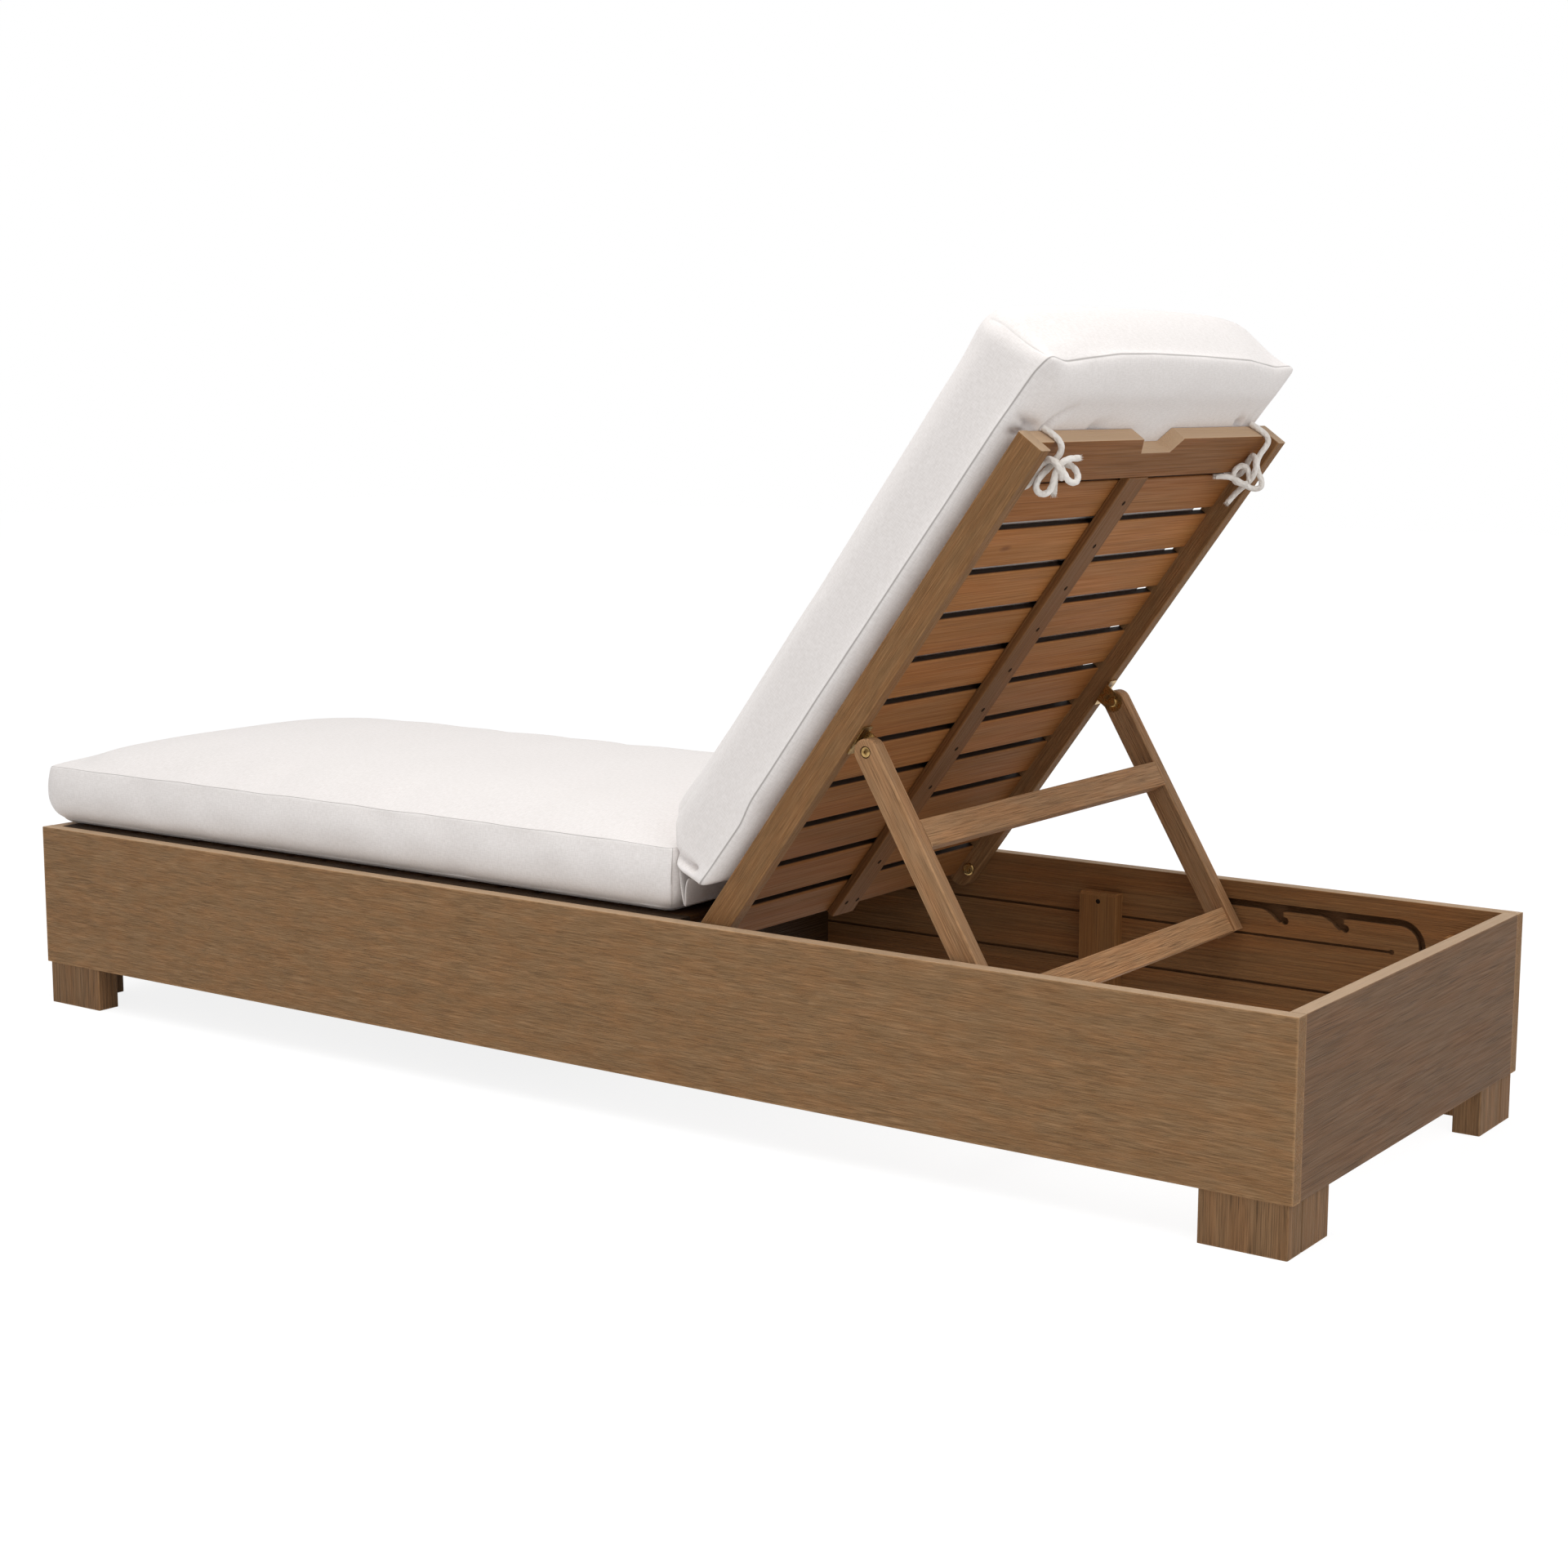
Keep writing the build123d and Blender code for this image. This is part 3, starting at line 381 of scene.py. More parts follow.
def planed_inside(made, axis, limit, groove_end):
    """Colours a board's inner face, darkens what is routed into it as painted shade, and pales its top edge,
    partly as its own colour and partly as painted light from above.
    """
    material, tree, shader, colour, place = made
    x, y, z = node(tree, "ShaderNodeSeparateXYZ", {0: place}).outputs
    across = sum_of(tree, "ABSOLUTE", (x, y)[axis])
    along = sum_of(tree, "ABSOLUTE", (x, y)[1 - axis])
    spin = along_x if axis else along_y
    turned = node(tree, "ShaderNodeMapping", {"Vector": place, "Rotation": spin}).outputs[0]
    smooth = grained(tree, turned, inner_colours, planed_fibre, 0.25, 0.9)
    inner = up_to(tree, across, limit + face_skin)
    routed = up_to(tree, across, limit + groove_depth)
    under_top = sum_of(tree, "LESS_THAN", z, board_top - eased_corner)
    over_foot = sum_of(tree, "GREATER_THAN", z, board_bottom + eased_corner)
    short = sum_of(tree, "LESS_THAN", along, groove_end)
    behind_face = sum_of(tree, "SUBTRACT", 1.0, inner)
    cut = all_of(tree, routed, under_top, over_foot, short, behind_face)
    # Painted light: the top face is paled, partly as its own colour and partly as light from above.
    on_top = sum_of(tree, "GREATER_THAN", z, board_top - face_skin)
    top_lit_mix = sum_of(tree, "MULTIPLY", on_top, top_lit_share)
    with_top_light = mix_colours(tree, top_lit_mix, colour, top_lit_colour)
    with_inner = mix_colours(tree, inner, with_top_light, smooth["Color"])
    # Painted shade: what is routed into the face takes the dark groove colour.
    with_groove_shade = mix_colours(tree, cut, with_inner, groove_shade_colour)
    tree.links.new(with_groove_shade, shader.inputs["Base Color"])
    return material


for side in ("left", "right"):
    name = "side_board_" + side
    made = timber(name, along_x, board_colours, fibre=board_fibre, pores=0.42, wear_and_highlight=board_edge_wear_and_highlight,
                  wear_and_highlight_amount=0.5, relief=0.0009)
    finish_node(name, planed_inside(made, 1, board_inner_y, side_groove_end))
for end in ("head", "toe"):
    name = "end_board_" + end
    made = timber(name, along_y, end_shaded_colours, fibre=end_fibre, wear_and_highlight=board_edge_wear_and_highlight, relief=0.0005)
    finish_node(name, planed_inside(made, 0, board_inner_x, end_groove_end))

# Feet
# Two blocks of the same brushed wood under each corner, glued in an L with their grain upright.
foot_colours = ((0.290, 0.165, 0.080, 1), (0.180, 0.100, 0.046, 1), (0.060, 0.032, 0.014, 1))
for name in ("foot_head_left", "foot_head_right", "foot_toe_left", "foot_toe_right"):
    made = timber(name, along_z, foot_colours, fibre=end_fibre, relief=0.0009, shift=len(name) * 0.1)
    finish_node(name, made[0])

# Corner posts, rest cleats, ledgers and brace
# Planed battens inside the box, screwed to the boards.  The posts and cleats are stained with the inner
# faces; the ledgers and the brace are painted very dark like the seat deck, as painted shade inside the box.
batten_colours = ((0.330, 0.160, 0.055, 1), (0.215, 0.100, 0.033, 1), (0.085, 0.036, 0.012, 1))
# Painted shade: near-black colours for the ledgers and brace deep in the box.
ledger_shade_colours = ((0.060, 0.030, 0.011, 1), (0.040, 0.019, 0.007, 1), (0.025, 0.011, 0.004, 1))
batten_fibre = (0.09, 0.003)
for name in nodes:
    if name.startswith(("corner_post", "rest_cleat")):
        made = timber(name, along_z, batten_colours, fibre=batten_fibre, pores=0.4, relief=0.0003)
        finish_node(name, made[0])
    if name.startswith("ledger"):
        made = timber(name, along_x, ledger_shade_colours, fibre=batten_fibre, pores=0.4, relief=0.0003)
        finish_node(name, made[0])
finish_node("cross_brace", timber("cross_brace", along_y, ledger_shade_colours, fibre=batten_fibre, pores=0.4)[0])

# Seat deck
# Two rails, a toe rail and a middle stile carry seventeen planed slats with eased edges.  The rails, the
# toe rail and the slats are painted very dark as painted shade, so that nothing shows between the cushion
# and the box.
slat_colours = ((0.405, 0.175, 0.054, 1), (0.290, 0.118, 0.033, 1), (0.120, 0.047, 0.013, 1))
rail_colours = ((0.325, 0.174, 0.075, 1), (0.200, 0.103, 0.040, 1), (0.095, 0.047, 0.018, 1))
stile_colours = ((0.215, 0.098, 0.034, 1), (0.152, 0.068, 0.022, 1), (0.080, 0.034, 0.012, 1))
smooth_fibre = (0.11, 0.0036)
# Painted shade: the seat rails and slats are toned near black for the shade under the cushion.
seat_rail_shade_tone = 0.12
seat_slat_shade_tone = 0.2


def toned(colours, tone):
    """A set of colours made lighter or darker."""
    return tuple(tuple(channel * tone for channel in colour[:3]) + (1,) for colour in colours)


for side in ("left", "right"):
    name = "seat_rail_" + side
    finish_node(name, timber(name, along_x, toned(rail_colours, seat_rail_shade_tone), wear_and_highlight_amount=0.1)[0])
for name in ("seat_toe_rail", "seat_slats"):
    made = timber(name, along_y, toned(slat_colours, seat_slat_shade_tone), fibre=smooth_fibre, pores=0.35,
                  wear_and_highlight_amount=0.0)
    finish_node(name, made[0])
finish_node("seat_stile", timber("seat_stile", along_x, stile_colours, fibre=smooth_fibre, pores=0.35)[0])

# Backrest
# Brushed rails, a head rail with a hand notch, and eleven planed slats screwed to a middle stile from
# behind.  The slats differ in tone, the ones nearest the hinge darker, and one has a small knot.
# Distances up the backrest are from the hinge.
lean_degrees = 54.0
hinge_place = Vector((0.222, 0.0, 0.2435))
lean = Matrix.Translation(hinge_place) @ Matrix.Rotation(math.radians(-lean_degrees), 4, "Y")
up_back = (0.0, math.radians(lean_degrees), 0.0)
across_back = (0.0, math.radians(lean_degrees), math.radians(-90))
# Painted shade: the slats' long edges are painted near black, for the dark gaps between them.
gap_shade = (0.020, 0.009, 0.004, 1)
gap_shade_from = 0.0012
gap_shade_full = 0.0032
slat_tones = (0.88, 1.04, 1.06, 0.94, 1.00, 0.88, 0.94, 0.80, 0.70, 0.74, 0.68)
head_rail_tone = 0.66
knot_slat = "back_slat_02"
knot_across = -0.197
knot_shape = (0.016, 0.006, 0.06)
knot_colour = (0.10, 0.03, 0.012, 1)
knot_share = 0.5
rail_fibre = (0.04, 0.0016)
rail_end = 0.764
notch_floor = 0.744
notch_floor_half = 0.0373
notch_slope = 1.27
end_skin = 0.0006
notch_skin = 0.0009
# Painted light on the upward faces at the top of the backrest and in the notch.
end_lit_colour = (0.60, 0.42, 0.27, 1)
end_lit_share = 0.85


def shaded_gap(made, name):
    """Paints a slat's two long edges near black, from just behind their eased corners: painted shade for the
    dark gaps between the slats.
    """
    material, tree, shader, colour, place = made
    middle, half = piece_box(name, across_back)
    turned = node(tree, "ShaderNodeMapping", {"Vector": place, "Rotation": across_back}).outputs[0]
    away = node(tree, "ShaderNodeVectorMath", {0: turned, 1: middle}, operation="SUBTRACT").outputs[0]
    _, up, out = node(tree, "ShaderNodeSeparateXYZ", {0: away}).outputs
    at_edge = sum_of(tree, "GREATER_THAN", sum_of(tree, "ABSOLUTE", up), half.y - face_skin)
    inside = ramp(tree, sum_of(tree, "ADD", out, half.z), gap_shade_from, gap_shade_full)
    if name == knot_slat:
        squeezed = node(tree, "ShaderNodeVectorMath", {0: away, 1: knot_shape}, operation="DIVIDE")
        centre = (knot_across / knot_shape[0], 0.0, 0.0)
        from_knot = node(tree, "ShaderNodeVectorMath", {0: squeezed.outputs[0], 1: centre},
                         operation="DISTANCE")
        knot = ramp(tree, from_knot.outputs["Value"], 1.0, 0.3)
        colour = mix_colours(tree, sum_of(tree, "MULTIPLY", knot, knot_share), colour, knot_colour)
    dark = mix_colours(tree, sum_of(tree, "MULTIPLY", at_edge, inside), colour, gap_shade)
    tree.links.new(dark, shader.inputs["Base Color"])
    return material


def light_end(made):
    """Pales the faces at the top of the backrest and in the notch: painted light, where the light from above
    falls on them.
    """
    material, tree, shader, colour, place = made
    turned = node(tree, "ShaderNodeMapping", {"Vector": place, "Rotation": up_back}).outputs[0]
    up, across, _ = node(tree, "ShaderNodeSeparateXYZ", {0: turned}).outputs
    pivot_up = (lean.to_3x3().inverted() @ hinge_place).x
    at_end = sum_of(tree, "GREATER_THAN", up, pivot_up + rail_end - end_skin)
    past_floor = sum_of(tree, "SUBTRACT", sum_of(tree, "ABSOLUTE", across), notch_floor_half)
    climb = sum_of(tree, "MULTIPLY", sum_of(tree, "MAXIMUM", past_floor, 0.0), notch_slope)
    notch_line = sum_of(tree, "ADD", climb, pivot_up + notch_floor - notch_skin)
    in_notch = sum_of(tree, "GREATER_THAN", up, notch_line)
    pale = sum_of(tree, "MAXIMUM", at_end, in_notch)
    end_lit = mix_colours(tree, sum_of(tree, "MULTIPLY", pale, end_lit_share), colour, end_lit_colour)
    tree.links.new(end_lit, shader.inputs["Base Color"])
    return material


for side in ("left", "right"):
    name = "back_rail_" + side
    made = timber(name, up_back, rail_colours, fibre=rail_fibre, pores=0.45, relief=0.0009)
    finish_node(name, light_end(made))
made = timber("head_rail", across_back, toned(slat_colours, head_rail_tone), fibre=smooth_fibre, pores=0.3)
finish_node("head_rail", light_end(made))
finish_node("back_stile", timber("back_stile", up_back, stile_colours, fibre=smooth_fibre, pores=0.35)[0])
for number, tone in enumerate(slat_tones, 1):
    name = f"back_slat_{number:02d}"
    # On the slats the pale edge line is mostly a painted highlight along the lit eased edges.
    made = timber(name, across_back, toned(slat_colours, tone), fibre=smooth_fibre, pores=0.3, relief=0.0003,
                  wear_and_highlight=0.0012, wear_and_highlight_amount=0.8, shift=number * 0.41)
    finish_node(name, shaded_gap(made, name))

# Prop
# Two legs and two rails in brushed wood, the lower rail set back from the legs' faces.  It hangs from the
# backrest's brackets on bolts, and pins in its legs run in the side boards' track.
prop_slope = 59.37
down_prop = (0.0, math.radians(-prop_slope), 0.0)
prop_colours = ((0.440, 0.250, 0.125, 1), (0.290, 0.160, 0.075, 1), (0.110, 0.058, 0.026, 1))
for side in ("left", "right"):
    name = "prop_leg_" + side
    finish_node(name, timber(name, down_prop, prop_colours, relief=0.0009, wear_and_highlight=0.003, shift=0.3)[0])
for place, tone in (("upper", 1.1), ("lower", 1.4)):
    name = "prop_rail_" + place
    finish_node(name, timber(name, along_y, toned(prop_colours, tone), relief=0.0008)[0])

# Bolts, washers, brackets, pins and screws
# Yellow-plated steel hardware, a little dulled; the wood screws are darker and sit in their holes.
brass_bright = (0.50, 0.33, 0.13, 1)
brass_dull = (0.16, 0.095, 0.035, 1)
screw_bright = (0.035, 0.022, 0.014, 1)
screw_dull = (0.015, 0.010, 0.007, 1)


def metal(name, bright, dull, roughness, metallic=1.0):
    """Plated metal with a cloudy tarnish that also dulls its gloss."""
    shine = 0.5 * metallic
    material, tree, shader = new_material(name, roughness, Metallic=metallic, Specular_IOR_Level=shine)
    place = node(tree, "ShaderNodeTexCoord").outputs["Object"]
    tarnish = ramp(tree, noise(tree, place, 130.0, 4.0), 0.42, 0.68)
    gloss = sum_of(tree, "MULTIPLY_ADD", tarnish, 0.25, roughness)
    fine = noise(tree, place, 1400.0, 2.0)
    bump = node(tree, "ShaderNodeBump", {"Height": fine, "Strength": 0.25, "Distance": 0.0002})
    tree.links.new(mix_colours(tree, tarnish, bright, dull), shader.inputs["Base Color"])
    tree.links.new(gloss, shader.inputs["Roughness"])
    tree.links.new(bump.outputs["Normal"], shader.inputs["Normal"])
    return material


brass = metal("plated_brass", brass_bright, brass_dull, 0.24)
dark_screw = metal("dark_screw", screw_bright, screw_dull, 0.7, 0.0)
for name in ("pivot_bolts", "pivot_washers", "prop_bolts", "prop_bracket_left", "prop_bracket_right",
             "prop_pins", "bracket_screws"):
    finish_node(name, brass)
for name in ("box_screws", "seat_screws", "stile_screws"):
    finish_node(name, dark_screw)

# Cushions
# Each is a boxed cover of off-white linen-look cloth over foam and fibre, sewn with one seam.  The seat's
# seam runs round its top, the back's round the side that lies on the slats; the other edges roll over.
seam_rows = (0.0, 0.0015, 0.004, 0.009)
side_shift = 2.3
far_side_shift = 1.7
evening = 0.6
blow_frames = 20
stuffing_reach = 0.007
on_edge = 1e-6
nearly_nothing = 1e-9
thread_pitch = 0.0011
linen_pale = (0.905, 0.862, 0.842, 1)
linen_deep = (0.775, 0.730, 0.703, 1)
# Painted shade along the seams, and down the seat's head corners.
seam_shade_colour = (0.33, 0.30, 0.285, 1)


def rows_between(start, stop, spacing, fine_start, fine_stop):
    """Places of grid rows, set closer beside a seam."""
    low = [start + row for row in seam_rows] if fine_start else [start]
    high = [stop - row for row in reversed(seam_rows)] if fine_stop else [stop]
    count = max(1, round((high[0] - low[-1]) / spacing))
    middle = [low[-1] + (high[0] - low[-1]) * i / count for i in range(1, count)]
    return low + middle + high


class Blank:
    """A cushion as a grid on a box: x along, y across and n through it, from the rolled side to the seam.

    The grid is closer along x in a stretch at the start."""

    def __init__(self, length, half, thick, spacing, close=0.05):
        xs = rows_between(0, close, spacing / 2, True, False)[:-1]
        xs += rows_between(close, length, spacing, False, True)
        ys = rows_between(-half, half, spacing, True, True)
        ns = rows_between(0, thick, spacing * 0.6, False, True)
        last = (len(xs) - 1, len(ys) - 1, len(ns) - 1)
        self.number = {}
        self.points = []
        self.faces = []
        self.face_uvs = []
        lines = (xs, ys, ns)
        for fixed in range(3):
            first, second = [axis for axis in range(3) if axis != fixed]
            for end in (0, last[fixed]):
                for i in range(last[first]):
                    for j in range(last[second]):
                        self.add_face(lines, fixed, end, first, second, i, j)
        self.points = np.array(self.points)
        x, y, n = self.points.T
        top = n > thick - on_edge
        rim = (np.abs(y) > half - on_edge) | (x < on_edge) | (x > length - on_edge)
        self.is_top = top & ~rim
        self.is_seam = top & rim
        self.is_base = (n < on_edge) & ~rim
        self.line = self.is_seam.copy()
        self.length, self.half, self.thick = length, half, thick

    def add_face(self, lines, fixed, end, first, second, i, j):
        """One face of the grid, on the box's side where one of the three numbers is fixed."""
        corners = []
        uvs = []
        for di, dj in ((0, 0), (1, 0), (1, 1), (0, 1)):
            key = [0, 0, 0]
            key[fixed], key[first], key[second] = end, i + di, j + dj
            key = tuple(key)
            if key not in self.number:
                self.number[key] = len(self.points)
                self.points.append([line[k] for line, k in zip(lines, key)])
            corners.append(self.number[key])
            u = lines[first][i + di] + side_shift * fixed
            v = lines[second][j + dj] + far_side_shift * (end > 0)
            uvs.append((u, v))
        self.faces.append(corners)
        self.face_uvs.append(uvs)

    def rolled(self, roll_radius, seam_corner, full_far_end=False):
        """The box with its edges rolled round on the far side from the seam, and its corners eased.

        A corner grows sharper towards the seam; a full far end keeps it round until just before."""
        x = self.points[:, 0] - self.length / 2
        y, n = self.points[:, 1], self.points[:, 2]
        share = np.clip(n / (0.4 * self.thick), 0, 1)
        if full_far_end:
            share = np.where(x > 0, (n / self.thick) ** 3, share)
        corner = roll_radius + (seam_corner - roll_radius) * share
        dx = np.maximum(np.abs(x) - (self.length / 2 - corner), 0)
        dy = np.maximum(np.abs(y) - (self.half - corner), 0)
        out = np.maximum(dx, dy)
        size = np.maximum(np.hypot(dx, dy), nearly_nothing)
        down = np.maximum(roll_radius - n, 0) * corner / roll_radius
        low = down > 0
        both = np.maximum(out, down) / np.maximum(np.hypot(out, down), nearly_nothing)
        flat = np.where(low, out * both, out)
        n2 = np.where(low, roll_radius - down * both * roll_radius / corner, n)
        inner_x = np.sign(x) * (np.abs(x) - dx)
        inner_y = np.sign(y) * (np.abs(y) - dy)
        x2 = inner_x + np.sign(x) * dx / size * flat
        y2 = inner_y + np.sign(y) * dy / size * flat
        return np.stack([x2 + self.length / 2, y2, n2], 1)

    def edge_distance(self):
        """How far each point of the flat box lies inside the plan's outline."""
        x, y = self.points[:, 0], self.points[:, 1]
        return np.minimum(np.minimum(x, self.length - x), self.half - np.abs(y))

    def cover(self, name, co):
        """The cover on given places, with the cloth's own length and width as its map."""
        mesh = bpy.data.meshes.new(name)
        mesh.from_pydata([tuple(p) for p in co], [], self.faces)
        layer = mesh.uv_layers.new(name="cloth")
        layer.data.foreach_set("uv", np.array(self.face_uvs).reshape(-1))
        mesh.attributes.new("seam", "FLOAT", "POINT").data.foreach_set("value", self.line.astype(float))
        work = bmesh.new()
        work.from_mesh(mesh)
        bmesh.ops.recalc_face_normals(work, faces=work.faces)
        work.to_mesh(mesh)
        work.free()
        mesh.polygons.foreach_set("use_smooth", [True] * len(mesh.polygons))
        return show(name, mesh)


def smooth_step(value, low, high):
    """From nought at low to one at high."""
    t = np.clip((value - low) / (high - low), 0, 1)
    return t * t * (3 - 2 * t)


def sew(co, blank, depth):
    """Pulls the seam into the cushion, half as much up or down as sideways."""
    centre = co.mean(0)
    inward = centre - co[blank.is_seam]
    inward[:, 2] *= 0.5
    inward /= np.linalg.norm(inward, axis=1)[:, None]
    co[blank.is_seam] += inward * depth
    return co


def evaluated_mesh(obj):
    """The object's mesh with its modifiers applied."""
    bpy.context.view_layer.update()
    graph = bpy.context.evaluated_depsgraph_get()
    return bpy.data.meshes.new_from_object(obj.evaluated_get(graph), depsgraph=graph)


def filled(obj, held, soften=8):
    """Blows the cover up as the filling does: cloth with pressure, held where it is sewn or rests.

    The stuffing stops it at its reach, and evens out the finer puckers."""
    mesh = obj.data
    start = vertex_places(mesh)
    group = obj.vertex_groups.new(name="held")
    for index in np.nonzero(held)[0]:
        group.add([int(index)], 1.0, "REPLACE")
    cloth = obj.modifiers.new("cover", "CLOTH")
    settings = cloth.settings
    settings.quality = 5
    settings.mass = 0.25
    settings.tension_stiffness = 25
    settings.compression_stiffness = 20
    settings.shear_stiffness = 8
    settings.bending_stiffness = 0.4
    settings.vertex_group_mass = "held"
    settings.use_pressure = True
    settings.uniform_pressure_force = 4.0
    settings.shrink_min = -0.02
    settings.effector_weights.gravity = 0.0
    cloth.collision_settings.use_collision = False
    cloth.point_cache.frame_start = 1
    cloth.point_cache.frame_end = blow_frames
    for step in range(1, blow_frames + 1):
        scene.frame_set(step)
    puffed = evaluated_mesh(obj)
    move = vertex_places(puffed) - start
    bpy.data.meshes.remove(puffed)
    obj.modifiers.remove(cloth)
    obj.vertex_groups.remove(group)
    scene.frame_set(1)
    reach = np.linalg.norm(move, axis=1)
    move *= np.minimum(1.0, stuffing_reach / np.maximum(reach, nearly_nothing))[:, None]
    ends = np.empty(len(mesh.edges) * 2, dtype=np.int32)
    mesh.edges.foreach_get("vertices", ends)
    first, second = ends.reshape(-1, 2).T
    count = np.bincount(ends, minlength=len(start))[:, None]
    for _ in range(soften):
        total = np.zeros_like(move)
        np.add.at(total, first, move[second])
        np.add.at(total, second, move[first])
        move = np.where(held[:, None], move, (1 - evening) * move + evening * total / count)
    mesh.vertices.foreach_set("co", (start + move).ravel())
    mesh.update()


def divided(obj):
    """Applies the modifiers of a finished cover, and one subdivision after them."""
    modifier = obj.modifiers.new("fine", "SUBSURF")
    modifier.levels = 1
    modifier.render_levels = 1
    mesh = evaluated_mesh(obj)
    obj.modifiers.clear()
    obj.data = mesh
    mesh.polygons.foreach_set("use_smooth", [True] * len(mesh.polygons))


def weave_group():
    """A plain weave of slubby yarn on the cloth's own map: puts out a height and a tone."""
    tree = new_tree(
        "linen weave",
        "ShaderNodeTree",
        (("Vector", "Vector"), ("Thread", "Float"), ("Slubs", "Float")),
        (("Height", "Float"), ("Tone", "Float")),
    )
    given = node(tree, "NodeGroupInput").outputs
    u, v, _ = node(tree, "ShaderNodeSeparateXYZ", {0: given["Vector"]}).outputs
    u_turn = sum_of(tree, "DIVIDE", u, given["Thread"])
    v_turn = sum_of(tree, "DIVIDE", v, given["Thread"])
    flat = node(tree, "ShaderNodeCombineXYZ", {"X": u_turn, "Y": v_turn, "Z": 0.5}).outputs[0]
    over = node(tree, "ShaderNodeTexChecker", {"Vector": flat, "Scale": 1.0}).outputs["Fac"]
    warp = sum_of(tree, "ABSOLUTE", sum_of(tree, "SINE", sum_of(tree, "MULTIPLY", u_turn, math.pi)))
    weft = sum_of(tree, "ABSOLUTE", sum_of(tree, "SINE", sum_of(tree, "MULTIPLY", v_turn, math.pi)))
    under = sum_of(tree, "SUBTRACT", 1.0, over)
    woven = sum_of(tree, "ADD", sum_of(tree, "MULTIPLY", warp, over), sum_of(tree, "MULTIPLY", weft, under))
    slubs = []
    for rate in ((120.0, 780.0, 1.0), (780.0, 120.0, 1.0)):
        place = node(tree, "ShaderNodeVectorMath", {0: given["Vector"], 1: rate}, operation="MULTIPLY")
        slubs.append(noise(tree, place.outputs[0], 1.0, 2.0))
    marked = ramp(tree, sum_of(tree, "ADD", *slubs), 0.78, 1.22)
    uneven = sum_of(tree, "MULTIPLY", marked, given["Slubs"])
    height = sum_of(tree, "ADD", woven, sum_of(tree, "MULTIPLY", uneven, 1.6))
    tone = sum_of(tree, "MULTIPLY_ADD", uneven, 0.6, sum_of(tree, "MULTIPLY", woven, 0.4))
    node(tree, "NodeGroupOutput", {"Height": height, "Tone": tone})
    return tree


weave = weave_group()


def cloth_material(name, pale, deep):
    """Off-white woven cover cloth, with painted shade in a dark line along its seams."""
    material, tree, shader = new_material(name, 0.9, Sheen_Weight=0.2, Specular_IOR_Level=0.2)
    own_map = node(tree, "ShaderNodeUVMap", uv_map="cloth").outputs[0]
    place = node(tree, "ShaderNodeTexCoord").outputs["Object"]
    woven = place_values(tree, node(tree, "ShaderNodeGroup", node_tree=weave),
                         {"Vector": own_map, "Thread": thread_pitch, "Slubs": 1.0})
    cloud = noise(tree, place, 9.0, 3.0)
    uneven = sum_of(tree, "MULTIPLY_ADD", cloud, 0.2, sum_of(tree, "MULTIPLY", woven["Tone"], 0.8))
    plain = mix_colours(tree, ramp(tree, uneven, 0.15, 0.85), deep, pale)
    # Painted shade: a dark line along the seam, where the cloth is pulled in.
    near_seam = node(tree, "ShaderNodeAttribute", attribute_name="seam").outputs["Fac"]
    shadow = sum_of(tree, "MULTIPLY", ramp(tree, near_seam, 0.42, 0.92), 0.85)
    sewn = mix_colours(tree, shadow, plain, seam_shade_colour)
    bump = node(tree, "ShaderNodeBump", {"Height": woven["Height"], "Strength": 0.25, "Distance": 0.0002})
    tree.links.new(sewn, shader.inputs["Base Color"])
    tree.links.new(bump.outputs["Normal"], shader.inputs["Normal"])
    return material


linen = cloth_material("cushion_linen", linen_pale, linen_deep)

# Seat cushion
# It lies loose on the seat slats with its seam round the top.  The filling crowns it, the foot end bows
# up, and the sides draw in a little between the corners.
seat_start = -1.026
seat_length = 1.192
seat_half = 0.319
seat_floor = 0.2695
seat_seam = 0.0875
seat_grid = 0.0098
seat_roll = 0.030
seat_corner = 0.012
seat_crown = 0.034
seat_head_drop = 0.35
seat_bow = 0.014
seat_pull = 0.006
seat_puff = 0.004
seat_ripple = 0.0008
seat_stitch = 0.0012
corner_seam_from = 0.042

blank = Blank(seat_length, seat_half, seat_seam, seat_grid)
co = blank.rolled(seat_roll, seat_corner)
x_share = blank.points[:, 0] / seat_length
y_share = blank.points[:, 1] / seat_half
n_share = blank.points[:, 2] / seat_seam
crown_x = 1 - np.abs(2 * x_share - 1) ** 9
crown_y = 1 - np.abs(y_share) ** 3.4
head_drop = 1 - seat_head_drop * smooth_step(x_share, 0.9, 1.0)
co[:, 2] += np.where(blank.is_top, seat_crown * crown_x * crown_y * head_drop, 0)
bow = seat_bow * (1 - y_share**2) * smooth_step(-x_share, -0.03, 0.0)
co[:, 2] += bow * n_share
co[:, 1] -= np.sign(y_share) * np.abs(y_share) ** 3 * seat_pull * np.sin(math.pi * x_share)
wall = (~blank.is_top) & (~blank.is_base)
puff = seat_puff * np.sin(math.pi * n_share) * wall
co[:, 1] += np.sign(y_share) * puff * (np.abs(y_share) > 0.999)
co[:, 0] -= puff * (x_share < 0.001) * 2
co[:, 2] += seat_ripple * np.sin(x_share * 46) * np.sin(x_share * 17 + 1) * n_share
co = sew(co, blank, seat_stitch)
co[:, 0] += seat_start
co[:, 2] += seat_floor
# The seat's head corners get the same painted seam shade, from part way down.
at_corner = (x_share > 0.9999) & (np.abs(y_share) > 0.9999)
blank.line |= at_corner & (blank.points[:, 2] > corner_seam_from)
seat = blank.cover("seat_cushion_cover", co)
filled(seat, blank.is_seam | blank.is_base)
divided(seat)
seat.data.materials.append(linen)
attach(seat, "frame")
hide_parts("seat_cushion")

